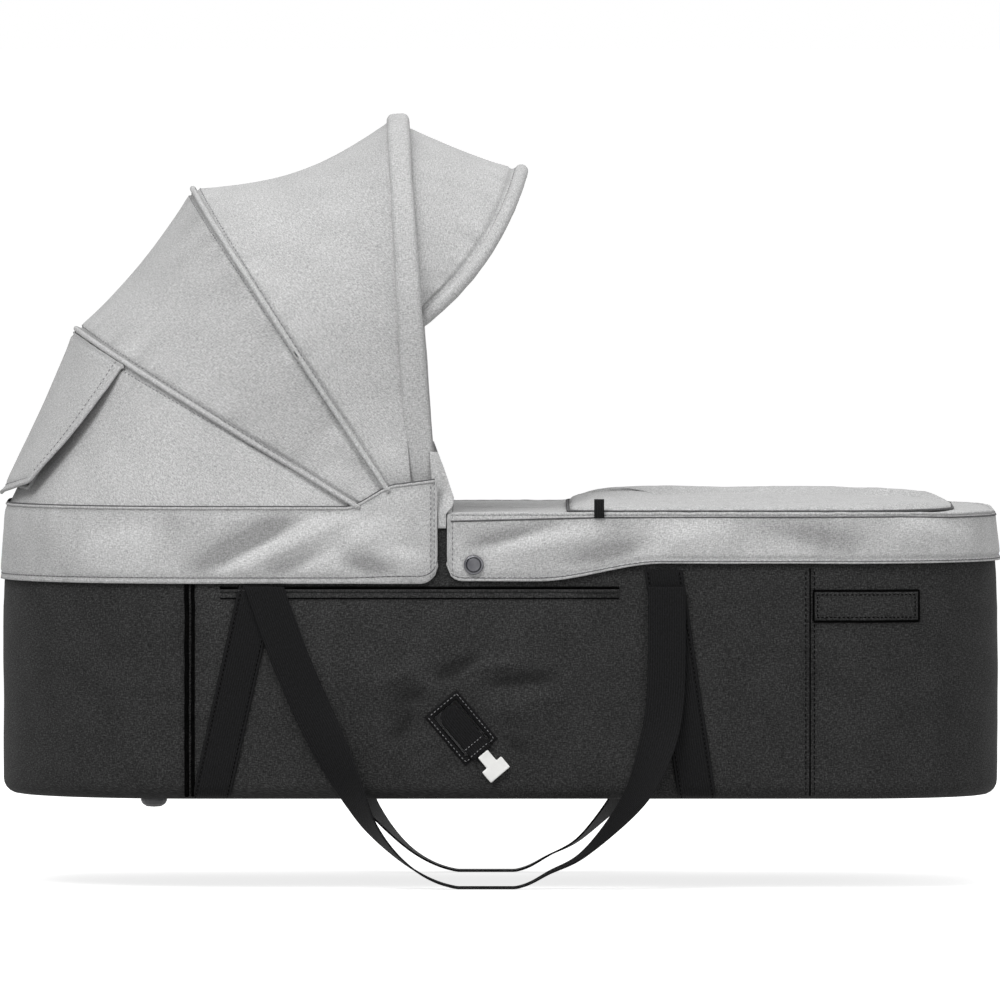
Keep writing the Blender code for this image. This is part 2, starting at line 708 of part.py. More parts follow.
def make_anchors():
    """Folded webbing between each sewn strap and the top of its handle leg."""
    inner = HALF_WIDTH - lean_in(HANDLE_HINGE_Z - ANCHOR_HEIGHT) + 2 * GAP + WEB_THICKNESS
    outer = HANDLE_Y - HANDLE_THICKNESS / 2 - GAP
    for side, sign in SIDES:
        for end, x in (("head", HANDLE_ROUTE_X[0]), ("foot", HANDLE_ROUTE_X[-1])):
            corners = [(x - ANCHOR_WIDTH / 2, HANDLE_HINGE_Z - ANCHOR_HEIGHT),
                       (x + ANCHOR_WIDTH / 2, HANDLE_HINGE_Z - ANCHOR_HEIGHT),
                       (x + ANCHOR_WIDTH / 2, HANDLE_HINGE_Z), (x - ANCHOR_WIDTH / 2, HANDLE_HINGE_Z)]
            rings = [[Vector((a, sign * y, z)) for a, z in corners] for y in (inner, outer)]
            anchor = solid_loft(f"handle_anchor_{end}_{side}", rings, "black_webbing")
            round_edges(anchor, (outer - inner) / 5, segments=1)


# Canopy bows


class Bow:
    """One bow: its lean back from upright, the radius of its crown and its layer at the rivet."""

    def __init__(self, lean_deg, radius, layer):
        lean = math.radians(lean_deg)
        self.reach = Vector((-math.sin(lean), 0, math.cos(lean)))
        self.across = Vector((math.cos(lean), 0, math.sin(lean)))
        self.radius = radius
        self.half_width = BOW_OUTER_HALF_WIDTH - layer * BOW_LAYER_PITCH
        self.leg_end = radius - BOW_ARCH_RISE

    def point(self, y, reach, across=0):
        return PIVOT + self.reach * reach + self.across * across + Vector((0, y, 0))

    def arch(self, offset):
        """(y, reach) from the end of the near leg over the crown to the end of the far one."""
        path = []
        for step in range(-ARCH_STEPS, ARCH_STEPS + 1):
            turn = math.pi / 2 * step / ARCH_STEPS
            path.append(((self.half_width + offset) * math.sin(turn),
                         self.leg_end + (BOW_ARCH_RISE + offset) * math.cos(turn)))
        return path


FRONT_BOW = Bow(FRONT_BOW_LEAN_DEG, FRONT_BOW_RADIUS, 0)
MID_BOW = Bow(MID_BOW_LEAN_DEG, MID_BOW_RADIUS, 1)
REAR_BOW = Bow(REAR_BOW_LEAN_DEG, REAR_BOW_RADIUS, 2)


def make_bow(name, bow, hole_tool):
    """A flat strip with round eyes on the rivets."""
    eye = []
    first_turn = math.radians(17)
    neck_turn = math.pi - math.asin(BOW_WIDTH / 2 / BOW_EYE_RADIUS)
    eye_steps = 6
    for step in range(eye_steps + 1):
        turn = first_turn + (neck_turn - first_turn) * step / eye_steps
        eye.append((-BOW_EYE_RADIUS * math.cos(turn), BOW_EYE_RADIUS * math.sin(turn)))
    rows = [(-bow.half_width, reach, half) for reach, half in eye]
    rows += [(y, reach, BOW_WIDTH / 2) for y, reach in bow.arch(0)]
    rows += [(bow.half_width, reach, half) for reach, half in reversed(eye)]
    points = [[bow.point(y, reach, -half), bow.point(y, reach, half)] for y, reach, half in rows]
    strip = sheet(name, points, "steel", BOW_THICKNESS, PIVOT, outward=0)
    cut(strip, hole_tool)


def hub_hole_cutter():
    """One pin through all the eyes and both hub plates."""
    bm = bmesh.new()
    bmesh.ops.create_cone(bm, cap_ends=True, segments=24, radius1=BOW_EYE_HOLE,
                          radius2=BOW_EYE_HOLE, depth=BODY_WIDTH + CUT_OVERRUN)
    turn = Matrix.Rotation(math.pi / 2, 4, "X")
    bmesh.ops.transform(bm, verts=bm.verts, matrix=turn)
    bmesh.ops.translate(bm, verts=bm.verts, vec=PIVOT)
    return cutter("hub_hole_cutter", bm)


def make_hubs(hole_tool):
    """A plate under the rim tube on each side, and the rivet through it and the bows."""
    for side, sign in SIDES:
        shape = [(PIVOT_X - HUB_TOP_HALF_WIDTH, RIM_TUBE_Z), (PIVOT_X + HUB_TOP_HALF_WIDTH, RIM_TUBE_Z)]
        for step in range(9):
            turn = math.pi * step / 8
            shape.append((PIVOT_X + HUB_RADIUS * math.cos(turn), PIVOT_Z - HUB_RADIUS * math.sin(turn)))
        rings = [[Vector((x, sign * y, z)) for x, z in shape] for y in (HUB_INNER_Y, HUB_OUTER_Y)]
        plate = solid_loft(f"canopy_hub_{side}", rings, "black_plastic")
        cut(plate, hole_tool)
        length = HUB_OUTER_Y - RIVET_IN_Y + GAP
        profile = [(0, -RIVET_HEAD), (RIVET_HEAD_RADIUS * 0.8, -RIVET_HEAD), (RIVET_HEAD_RADIUS, 0),
                   (RIVET_RADIUS, 0), (RIVET_RADIUS, length), (RIVET_HEAD_RADIUS, length),
                   (RIVET_HEAD_RADIUS * 0.8, length + RIVET_HEAD), (0, length + RIVET_HEAD)]
        turned(f"hub_rivet_{side}", profile[::-1], (PIVOT_X, sign * RIVET_IN_Y, PIVOT_Z),
               (0, sign, 0), "steel", steps=12)


def sleeve_sizes(reach):
    """Half width and outward depth of the front sleeve at a distance from the rivet."""
    rise = smooth_step((reach - SLEEVE_FOOT_RADIUS) / (FRONT_BOW_RADIUS - SLEEVE_FOOT_RADIUS))
    half = SLEEVE_HALF_WIDTH_FOOT + (SLEEVE_HALF_WIDTH_TOP - SLEEVE_HALF_WIDTH_FOOT) * rise
    lift = smooth_step((reach - SLEEVE_FOOT_RADIUS) / SLEEVE_RISE_LENGTH)
    proud = SLEEVE_PROUD_FOOT + (SLEEVE_PROUD_TOP - SLEEVE_PROUD_FOOT) * lift
    return half, proud


def make_sleeve():
    """The padded fabric tunnel round the front bow."""
    bow = FRONT_BOW
    path = [(-bow.half_width, SLEEVE_FOOT_RADIUS + (bow.leg_end - SLEEVE_FOOT_RADIUS) * k / 4)
            for k in range(4)]
    path = path + bow.arch(0) + [(-y, reach) for y, reach in reversed(path)]
    inner_lift = BOW_THICKNESS / 2 + GAP + SLEEVE_SKIN
    section_shares = ((-1, 0), (-1, 0.45), (-0.82, 0.80), (-0.4, 1), (0.4, 1), (0.82, 0.80), (1, 0.45),
                      (1, 0))
    rows = []
    for k, (y, reach) in enumerate(path):
        before, after = path[max(k - 1, 0)], path[min(k + 1, len(path) - 1)]
        along = Vector((after[0] - before[0], after[1] - before[1])).normalized()
        normal = Vector((-along.y, along.x))
        half, proud = sleeve_sizes(reach)
        row = []
        for across_share, lift_share in section_shares:
            lift = -inner_lift + (proud + inner_lift) * lift_share
            row.append(bow.point(y + normal.x * lift, reach + normal.y * lift, half * across_share))
        rows.append(row)
    tunnel_sheet("front_sleeve", rows, "grey_fabric", SLEEVE_SKIN)


def tunnel_sheet(name, rows, finish, thickness):
    """A tube of closed sections, thickened inward and open at both ends."""
    bm = bmesh.new()
    grid = [[bm.verts.new(point) for point in row] for row in rows]
    count = len(grid[0])
    for one, two in zip(grid, grid[1:]):
        for j in range(count):
            k = (j + 1) % count
            bm.faces.new((one[j], one[k], two[k], two[j]))
    bmesh.ops.recalc_face_normals(bm, faces=bm.faces[:])
    bm.normal_update()
    middle = sum((v.co for v in grid[0]), Vector()) / count
    if sum((f.calc_center_median() - middle).dot(f.normal) for f in grid[0][0].link_faces) < 0:
        bmesh.ops.reverse_faces(bm, faces=bm.faces[:])
    return thicken(add_mesh(name, bm, finish), thickness, -1)


# Skirt


def skirt_top(x):
    """Height of the skirt's top seam, which rises over the hubs."""
    if x <= SKIRT_SHOULDER_X:
        rise = smooth_step((x - SKIRT_RISE_X) / (SKIRT_SHOULDER_X - SKIRT_RISE_X))
        return SKIRT_TOP_Z + (SKIRT_SHOULDER_Z - SKIRT_TOP_Z) * rise
    share = (x - SKIRT_SHOULDER_X) / (SKIRT_FRONT_X - SKIRT_SHOULDER_X)
    return SKIRT_SHOULDER_Z + (SKIRT_FRONT_Z - SKIRT_SHOULDER_Z) * share


def corner_lift(distance, radius):
    """How far a rounded lower corner stands above its hem at a distance from the end."""
    near = max(radius - distance, 0)
    return radius - math.sqrt(max(radius * radius - near * near, 0))


def make_skirt():
    """The band of canopy fabric over the rim round the head end, with its soft folds."""
    stations = [SKIRT_FRONT_X - SKIRT_CORNER * share for share in (0, 0.12, 0.4, 1)]
    corner_x = HEAD_CORNER - HALF_LENGTH
    count = 11
    stations += [stations[-1] + (corner_x - stations[-1]) * k / count for k in range(1, count)]
    rows = []
    row_shares = (0, 0.25, 0.6, 1)
    hem = SKIRT_HEM_OFFSET - lean_in(SKIRT_HEM_Z)
    top = SKIRT_TOP_OFFSET - WALL_LEAN
    paths = [end_path(-1, hem + (top - hem) * share, stations) for share in row_shares]
    for share, path in zip(row_shares, paths):
        row = []
        for k, (x, y) in enumerate(path):
            low = SKIRT_HEM_Z + corner_lift(SKIRT_FRONT_X - x, SKIRT_CORNER)
            high = skirt_top(x)
            z = low + (high - low) * share
            fade = smooth_step((SKIRT_FRONT_X - SKIRT_CORNER - x) / SKIRT_FOLD_PITCH)
            fade *= math.sin(math.pi * share) if share < 1 else 0
            wave = 0.5 + 0.5 * math.sin(2 * math.pi * (x - (z - SKIRT_HEM_Z)) / SKIRT_FOLD_PITCH)
            bulge = 1 + SKIRT_FOLD * fade * wave / HALF_WIDTH
            row.append(Vector((x * bulge, y * bulge, z)))
        rows.append(row)
    sheet("canopy_skirt", rows, "grey_fabric", FABRIC, (corner_x, 0, SKIRT_HEM_Z))


# Canopy fabric


def bow_edge(bow, offset, shift, top_x=None):
    """The line of the fabric along one bow, flared out to the skirt at its two ends."""
    reach = bow.leg_end / 2
    for _ in range(30):
        x = bow.point(0, reach, shift).x
        seam = max(skirt_top(min(x, SKIRT_FRONT_X)), SKIRT_TOP_Z) + FOOT_SEAM
        reach = (seam - PIVOT_Z - bow.across.z * shift) / bow.reach.z
    flare = HALF_WIDTH - WALL_LEAN + SKIRT_TOP_OFFSET + GAP - bow.half_width - offset
    legs = []
    leg_steps = 5
    for step in range(leg_steps):
        share = (step / leg_steps) ** 1.4
        spot = reach + (bow.leg_end - reach) * share
        out = 1 - smooth_step((spot - reach) / PANEL_FLARE_HEIGHT)
        legs.append((-(bow.half_width + offset + flare * out), spot))
    path = legs + bow.arch(offset) + [(-y, spot) for y, spot in reversed(legs)]
    return [bow.point(y, spot, shift) for y, spot in path]


def resample(points, count):
    """Count points at even distances along a line of points."""
    lengths = [0]
    for one, two in zip(points, points[1:]):
        lengths.append(lengths[-1] + (two - one).length)
    even = []
    for k in range(count):
        target = lengths[-1] * k / (count - 1)
        j = 0
        while j < len(points) - 2 and lengths[j + 1] < target:
            j += 1
        span = lengths[j + 1] - lengths[j]
        even.append(points[j].lerp(points[j + 1], (target - lengths[j]) / span))
    return even


def span_rows(edge_a, edge_b, sag, steps, centre):
    """Rows of fabric from edge_a to edge_b, drawn in towards the centre between them."""
    count = len(edge_a)
    rows = []
    for step in range(steps + 1):
        share = step / steps
        row = []
        for k, (a, b) in enumerate(zip(edge_a, edge_b)):
            chord = a.lerp(b, share)
            draw = sag * 4 * share * (1 - share) * math.sin(math.pi * k / (count - 1)) ** 2
            row.append(chord + (centre - chord).normalized() * draw)
        rows.append(row)
    return rows


def make_canopy_fabric():
    """Front, middle and rear panels, with a net vent under a flap in the rear one."""
    centre = Vector((PIVOT_X, 0, PIVOT_Z + BOW_ARCH_RISE / 2))
    lift = BOW_THICKNESS / 2 + BOW_TENT
    half, _ = sleeve_sizes(SLEEVE_FOOT_RADIUS)
    front_edge = bow_edge(FRONT_BOW, -BOW_THICKNESS / 2, -half - GAP)
    mid_front = bow_edge(MID_BOW, lift, SEAM / 2)
    mid_rear = bow_edge(MID_BOW, lift, -SEAM / 2)
    rear_front = bow_edge(REAR_BOW, lift, SEAM / 2)
    rear_rear = bow_edge(REAR_BOW, lift, -SEAM / 2)
    sheet("canopy_front_panel", span_rows(front_edge, mid_front, FRONT_PANEL_SAG, 6, centre),
          "grey_fabric", FABRIC, centre)
    sheet("canopy_middle_panel", span_rows(mid_rear, rear_front, MIDDLE_PANEL_SAG, 5, centre),
          "grey_fabric", FABRIC, centre)

    start_x = rear_rear[0].x
    stations = [start_x + (HEAD_CORNER - HALF_LENGTH - start_x) * k / 6 for k in range(6)]
    rim = [Vector((x, y, skirt_top(x) + FOOT_SEAM))
           for x, y in end_path(-1, SKIRT_TOP_OFFSET + GAP - WALL_LEAN, stations)]
    rim[0].x -= SEAM
    rim[-1].x -= SEAM
    rim = resample(rim, len(rear_rear))
    rows = span_rows(rear_rear, rim, REAR_PANEL_SAG, 8, centre)
    count = len(rear_rear) - 1
    vent_columns = range(count // 2 - 5, count // 2 + 5)
    vent_rows = range(1, 6)
    sheet("canopy_rear_panel", rows, "grey_fabric", FABRIC, centre,
          skip=lambda i, j: i in vent_rows and j in vent_columns)
    net = [[point.copy() for point in row[vent_columns.start:vent_columns.stop + 1]]
           for row in rows[vent_rows.start:vent_rows.stop + 1]]
    middle = net[len(net) // 2][len(net[0]) // 2]
    for row in net:
        for point in (row[0], row[-1]):
            point += (middle - point).normalized() * SEAM
    for row in (net[0], net[-1]):
        for point in row:
            point += (middle - point).normalized() * SEAM
    sheet("vent_net", net, "mesh_net", FABRIC, centre)


def make_vent_flap():
    """The stiff flap over the vent, hinged on the rear bow and standing off at its hem."""
    bow = REAR_BOW
    lift = BOW_THICKNESS / 2 + BOW_TENT + 2 * GAP + FABRIC
    top = []
    columns = 12
    for k in range(columns + 1):
        share = 2 * k / columns - 1
        y = (HALF_WIDTH - VENT_FLAP_SIDE_TOP) * share
        turn = math.asin(y / (bow.half_width + lift))
        top.append(bow.point(y, bow.leg_end + (BOW_ARCH_RISE + lift) * math.cos(turn), -SEAM))
    half_foot = HALF_WIDTH - VENT_FLAP_SIDE_FOOT
    foot = [Vector((VENT_FLAP_FOOT_X, half_foot * (2 * k / columns - 1),
                    VENT_FLAP_FOOT_Z + VENT_FLAP_CORNER_LIFT * (2 * k / columns - 1) ** 2))
            for k in range(columns + 1)]
    rows = []
    steps = 6
    for step in range(steps + 1):
        share = step / steps
        bulge = VENT_FLAP_BULGE * 4 * share * (1 - share) + VENT_FLAP_STANDOFF * smooth_step(share * 4)
        rows.append([a.lerp(b, share) + Vector((-bulge, 0, bulge)) for a, b in zip(top, foot)])
    sheet("vent_flap", rows, "grey_fabric", FABRIC, PIVOT)


# Visor


def visor_axis():
    return FRONT_BOW.point(0, VISOR_AXIS_RADIUS)


def visor_point(y, share, drop=0):
    """A point on the visor's hoop at a share of its reach, moved back by drop."""
    lean = math.radians(VISOR_LEAN_DEG)
    reach = Vector((math.sin(lean), 0, math.cos(lean)))
    ahead = Vector((math.cos(lean), 0, -math.sin(lean)))
    bulge = VISOR_BULGE * 4 * share * (1 - share)
    return visor_axis() + reach * VISOR_REACH * share + ahead * (bulge - drop) + Vector((0, y, 0))


def visor_shape(offset):
    """(y, share of reach) along the hoop from its near end to its far end."""
    leg = VISOR_REACH - VISOR_ARCH_RISE
    path = [(-VISOR_HALF_WIDTH - offset, leg * k / 2) for k in range(2)]
    for step in range(-ARCH_STEPS, ARCH_STEPS + 1):
        turn = math.pi / 2 * step / ARCH_STEPS
        path.append(((VISOR_HALF_WIDTH + offset) * math.sin(turn),
                     leg + (VISOR_ARCH_RISE + offset) * math.cos(turn)))
    path += [(VISOR_HALF_WIDTH + offset, leg * k / 2) for k in (1, 0)]
    return [(y, reach / VISOR_REACH) for y, reach in path]


def make_visor():
    """The hoop in its bound rim, its two pins and the fabric back to the sleeve."""
    tube("visor_rim", [visor_point(y, share) for y, share in visor_shape(0)], VISOR_RIM_RADIUS,
         "grey_fabric")
    pin_in = VISOR_HALF_WIDTH + VISOR_RIM_RADIUS + GAP
    pin_out = FRONT_BOW.half_width - BOW_THICKNESS / 2 - 2 * GAP - SLEEVE_SKIN - GAP
    for side, sign in SIDES:
        profile = [(0, pin_out - pin_in), (VISOR_PIN_RADIUS, pin_out - pin_in), (VISOR_PIN_RADIUS, 0),
                   (0, 0)]
        seat = visor_axis() + Vector((0, sign * pin_in, 0))
        turned(f"visor_pin_{side}", profile, seat, (0, sign, 0), "black_plastic", steps=12)

    centre = FRONT_BOW.point(0, FRONT_BOW.leg_end)
    start = VISOR_AXIS_RADIUS + VISOR_START
    bow_line = [FRONT_BOW.point(y, max(reach, start), 0)
                for y, reach in [(-FRONT_BOW.half_width, start)] + FRONT_BOW.arch(-BOW_THICKNESS)
                + [(FRONT_BOW.half_width, start)]]
    ahead = FRONT_BOW.across * (SLEEVE_HALF_WIDTH_FOOT + SEAM)
    bow_line = resample([point + ahead for point in bow_line], 21)
    hoop = [(y, share) for y, share in visor_shape(0) if share * VISOR_REACH > VISOR_START]
    rim_line = resample([visor_point(y, share, VISOR_RIM_RADIUS + FABRIC / 2) for y, share in hoop], 21)
    sheet("visor_panel", span_rows(bow_line, rim_line, 0, 4, centre), "grey_fabric", FABRIC, centre)


def make_gussets():
    """Small fabric corners between the foot of the front sleeve and the rim."""
    for side, sign in SIDES:
        rows = [[Vector((start + (stop - start) * share,
                         sign * (HALF_WIDTH - WALL_LEAN + offset), WALL_HEIGHT + rise))
                 for share in (0, 0.5, 1)]
                for rise, start, stop, offset in GUSSET_ROWS]
        sheet(f"canopy_gusset_{side}", rows, "grey_fabric", FABRIC, (GUSSET_ROWS[0][1], 0, PIVOT_Z))


# Apron


def apron_hem(x):
    """Height of the apron's hem, higher round the foot end."""
    start, stop = APRON_HEM_RISE_X
    rise = smooth_step((x - start) / (stop - start))
    return APRON_HEM_FRONT_Z + (APRON_HEM_FOOT_Z - APRON_HEM_FRONT_Z) * rise


def make_apron():
    """The apron: a deck over the rim with bands down the outside of the walls."""
    stations = [APRON_FRONT_X + APRON_CORNER * share for share in (0, 0.12, 0.4, 1)]
    corner_x = HALF_LENGTH - FOOT_CORNER
    count = 5
    stations += [stations[-1] + (corner_x - stations[-1]) * k / count for k in range(1, count)]
    rows = []
    side_top = DECK_Z - APRON_ROUND
    for share in (0, 0.3, 0.7, 1):
        hem = APRON_HEM_OFFSET - lean_in(APRON_HEM_FRONT_Z)
        offset = hem + (APRON_TOP_OFFSET - WALL_LEAN - hem) * share
        path = end_path(1, offset + APRON_SKIN, stations)
        row = []
        for x, y in path:
            low = apron_hem(x) + corner_lift(x - APRON_FRONT_X, APRON_CORNER)
            row.append(Vector((x, y, low + (side_top - low) * share)))
        rows.append(row)
    for turn in (30, 60, 90):
        inset = APRON_ROUND * (1 - math.cos(math.radians(turn)))
        path = end_path(1, APRON_TOP_OFFSET - WALL_LEAN + APRON_SKIN - inset, stations)
        rows.append([Vector((x, y, side_top + APRON_ROUND * math.sin(math.radians(turn))))
                     for x, y in path])
    bm = bmesh.new()
    grid = [[bm.verts.new(point) for point in row] for row in rows]
    for low, high in zip(grid, grid[1:]):
        for j in range(len(low) - 1):
            bm.faces.new((low[j], low[j + 1], high[j + 1], high[j]))
    top = grid[-1]
    half = len(top) // 2
    for j in range(half):
        near, after = top[j], top[j + 1]
        far, before = top[-1 - j], top[-2 - j]
        if len({near, after, before, far}) == 4:
            bm.faces.new((near, after, before, far))
    bmesh.ops.recalc_face_normals(bm, faces=bm.faces[:])
    face_outward(bm, Vector((corner_x / 2, 0, 0)))
    thicken(add_mesh("apron_cover", bm, "grey_fabric"), APRON_SKIN, -1)


def pad_outline(inset, z):
    """The padded top's outline: rounded like the foot end and square at its fold."""
    path = end_path(1, -PAD_INSET - inset, (PAD_START_X + PAD_CORNER,))
    reach = HALF_WIDTH - PAD_INSET - inset
    corner = []
    for step in range(1, 5):
        turn = math.pi / 2 * step / 4
        corner.append((PAD_START_X + inset + PAD_CORNER * (1 - math.sin(turn)),
                       reach - PAD_CORNER * (1 - math.cos(turn))))
    points = path + corner + [(x, -y) for x, y in reversed(corner)]
    scale = (HALF_LENGTH - PAD_FOOT_INSET) / HALF_LENGTH
    return [Vector((x * scale if x > PAD_START_X + PAD_CORNER else x, y, z)) for x, y in points]


def make_apron_pad():
    """The quilted top of the apron: crowned, drawn in at its edges, with a stitched fold."""
    base = DECK_Z + GAP
    ring_shares = ((0.0, 0.0), (-0.05, 0.25), (0.02, 0.62), (0.5, 0.86), (1.8, 0.93), (3.4, 1.0))
    rings = [pad_outline(share * PAD_HEIGHT * 3, base + PAD_HEIGHT * rise)
             for share, rise in ring_shares]
    solid_loft("apron_pad", rings, "grey_fabric")


def make_apron_trim():
    """Snap caps with their studs, and the black webbing tabs at the padded top."""
    cap_shares = ((0.0, 1.0), (0.62, 0.86), (0.74, 0.6), (0.80, 0.95), (0.94, 0.8), (1.0, 0.35),
                  (1.0, 0.0), (0.0, 0.0))
    share = (SNAP_Z - APRON_HEM_FRONT_Z) / (DECK_Z - APRON_ROUND - APRON_HEM_FRONT_Z)
    hem = APRON_HEM_OFFSET - lean_in(APRON_HEM_FRONT_Z)
    band = hem + (APRON_TOP_OFFSET - WALL_LEAN - hem) * share
    for side, sign in SIDES:
        cap = [(SNAP_RADIUS * a, SNAP_PROUD * b) for a, b in cap_shares]
        seat = HALF_WIDTH + band + APRON_SKIN + 2 * GAP
        turned(f"apron_snap_{side}", cap, (SNAP_X, sign * seat, SNAP_Z), (0, sign, 0), "dark_snap")
        stud = [(0, STUD_HEIGHT), (STUD_RADIUS * 0.8, STUD_HEIGHT), (STUD_RADIUS, STUD_HEIGHT / 2),
                (STUD_RADIUS, 0), (0, 0)]
        stud_seat = HALF_WIDTH - lean_in(SNAP_Z - STUD_RADIUS) + GAP
        turned(f"snap_stud_{side}", stud, (SNAP_X, sign * stud_seat, SNAP_Z), (0, sign, 0),
               "dark_snap", steps=12)
        seat = HALF_WIDTH - WALL_LEAN + APRON_TOP_OFFSET + APRON_SKIN + 2 * GAP
        low, high = TAB_FOOT_Z, TAB_FOOT_Z + TAB_HEIGHT
        rows = [[Vector((x, sign * y, z)) for x in (TAB_X - TAB_WIDTH / 2, TAB_X + TAB_WIDTH / 2)]
                for y, z in ((seat, low), (seat, DECK_Z - APRON_ROUND / 3),
                             (seat - APRON_ROUND / 3, DECK_Z + 2 * GAP), (seat - APRON_ROUND / 2, high))]
        sheet(f"apron_tab_{side}", rows, "black_webbing", WEB_THICKNESS, (TAB_X, 0, low))


# Joints


def joint_groups():
    """Each moving group: its name, its parent group, a point on its axis and its pieces."""
    flap_reach = REAR_BOW.radius + BOW_THICKNESS / 2 + BOW_TENT
    groups = [
        ("mid_bow", None, PIVOT, ["mid_bow_strip", "canopy_middle_panel"]),
        ("front_bow", "mid_bow", PIVOT,
         ["front_bow_strip", "front_sleeve", "canopy_front_panel", "visor_pin_left", "visor_pin_right"]),
        ("visor", "front_bow", visor_axis(), ["visor_rim", "visor_panel"]),
        ("vent_flap", None, REAR_BOW.point(0, flap_reach, -SEAM), ["vent_flap"]),
        ("apron", None, Vector((HALF_LENGTH + APRON_HEM_OFFSET + APRON_SKIN / 2, 0, APRON_HINGE_Z)),
         ["apron_cover", "apron_pad", "apron_snap_left", "apron_snap_right", "apron_tab_left",
          "apron_tab_right"]),
    ]
    for side, sign in SIDES:
        groups += [
            (f"handle_{side}", None, Vector((0, sign * HANDLE_Y, HANDLE_HINGE_Z)),
             [f"handle_webbing_{side}"]),
            (f"clip_{side}", None, port_point(TONGUE_START, 0, sign * TONGUE_Y),
             [f"clip_tongue_{side}", f"t_clip_{side}"]),
        ]
    return groups


def hang(item, parent):
    """Parent an item to a joint's empty and keep it where it is."""
    item.parent = parent
    item.matrix_parent_inverse = Matrix.Translation(parent.location).inverted()


def make_joints():
    """An empty on each joint's axis, with its pieces and the joints it carries under it."""
    empties = {}
    for name, parent, place, pieces in joint_groups():
        empty = bpy.data.objects.new(f"{name}_joint", None)
        empty.location = place
        PARTS.objects.link(empty)
        if parent:
            hang(empty, empties[parent])
        for piece in pieces:
            hang(bpy.data.objects[piece], empty)
        empties[name] = empty


def main():
    start_clean()
    port_tool = port_cutter()
    hole_tool = hub_hole_cutter()
    make_body(port_tool)
    make_feet()
    make_ports()
    make_sewn_straps()
    make_patches()
    make_handles()
    make_anchors()
    make_bow("front_bow_strip", FRONT_BOW, hole_tool)
    make_bow("mid_bow_strip", MID_BOW, hole_tool)
    make_bow("rear_bow_strip", REAR_BOW, hole_tool)
    make_hubs(hole_tool)
    make_sleeve()
    make_skirt()
    make_canopy_fabric()
    make_vent_flap()
    make_visor()
    make_gussets()
    make_apron()
    make_apron_pad()
    make_apron_trim()
    make_joints()


main()
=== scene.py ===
import math

import bpy
import numpy as np
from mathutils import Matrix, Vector, noise


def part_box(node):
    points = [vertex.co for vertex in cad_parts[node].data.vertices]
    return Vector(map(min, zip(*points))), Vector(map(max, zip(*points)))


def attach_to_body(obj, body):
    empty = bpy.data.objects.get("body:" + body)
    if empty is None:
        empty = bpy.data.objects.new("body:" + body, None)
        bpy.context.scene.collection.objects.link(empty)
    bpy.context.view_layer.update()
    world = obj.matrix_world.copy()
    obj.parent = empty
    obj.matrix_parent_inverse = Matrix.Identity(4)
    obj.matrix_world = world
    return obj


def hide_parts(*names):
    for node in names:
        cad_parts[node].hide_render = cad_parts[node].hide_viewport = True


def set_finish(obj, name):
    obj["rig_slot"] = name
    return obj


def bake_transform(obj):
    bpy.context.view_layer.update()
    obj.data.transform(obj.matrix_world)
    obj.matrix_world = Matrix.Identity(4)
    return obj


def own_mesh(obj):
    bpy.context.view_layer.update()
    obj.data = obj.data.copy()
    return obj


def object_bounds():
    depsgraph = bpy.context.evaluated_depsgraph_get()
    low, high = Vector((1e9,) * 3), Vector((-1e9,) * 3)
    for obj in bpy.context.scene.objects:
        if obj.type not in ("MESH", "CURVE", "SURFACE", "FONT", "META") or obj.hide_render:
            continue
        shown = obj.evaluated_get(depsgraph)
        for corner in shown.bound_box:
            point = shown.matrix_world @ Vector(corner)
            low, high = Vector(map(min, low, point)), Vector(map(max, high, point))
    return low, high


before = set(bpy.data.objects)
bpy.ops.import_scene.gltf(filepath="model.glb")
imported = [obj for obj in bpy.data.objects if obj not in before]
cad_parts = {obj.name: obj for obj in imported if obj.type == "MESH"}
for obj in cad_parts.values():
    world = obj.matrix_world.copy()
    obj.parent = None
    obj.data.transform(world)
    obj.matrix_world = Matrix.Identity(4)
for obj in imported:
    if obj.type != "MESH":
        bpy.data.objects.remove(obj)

CAD_LOW, CAD_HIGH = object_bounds()

# Driving sizes of the frame, in metres
HALF_LENGTH, HALF_WIDTH, WALL_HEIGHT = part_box("outer_shell")[1]
HEAD_CORNER = 0.160
FOOT_CORNER = 0.120
BASE_ROUND = 0.012
TOP_ROUND = 0.003
BASE_FOLD_IN = 0.100
COVER_SINK = 0.0014
WALL_LEAN = 0.0038
WALL_LEAN_Z = WALL_HEIGHT - 0.0765
RIM_CLEAR = 0.0003 - WALL_LEAN
SIDES = (("right", -1), ("left", 1))

# Thickness of the cloths
CLOTH = 0.0012
COVER_CLOTH = 0.0015
FLAP_CLOTH = 0.0016
THIN_CLOTH = 0.0008
FACING_CLOTH = 0.0006
LINER_CLOTH = 0.0022
TONGUE_WEB = 0.0013
ANCHOR_WEB = 0.0007
TAB_WEB = 0.0014
NET_WIRE = 0.0006

# Webbing and handles
WEB_WIDTH = 0.030
WEB_THICKNESS = 0.0015
HEAD_STRAP_X = (-0.230, -0.190)
FOOT_STRAP_X = (0.157, 0.130)
STRAP_FOOT_Z = 0.002
STRAP_TOP_Z = WALL_HEIGHT - 0.0435
STRAP_PROUD = 0.0018
HANDLE_Y = HALF_WIDTH + 0.005
HANDLE_HINGE_Z = WALL_HEIGHT - 0.057
HANDLE_HANG = 0.071
HANDLE_CLEAR_Z = -0.030
HANDLE_TUCK = 0.021
HANDLE_ROUTE_X = (
    -0.188, -0.161, -0.118, -0.098, -0.068, -0.034, 0.012, 0.040, 0.068, 0.106, 0.124, 0.132, 0.133,
)
HANDLE_DROP_SHARES = (
    0, 0.3015, 0.6798, 0.8212, 0.9418, 1, 1, 0.9480, 0.8815, 0.7048, 0.5385, 0.3514, 0,
)
TWIST_TOP_Z = 0.090
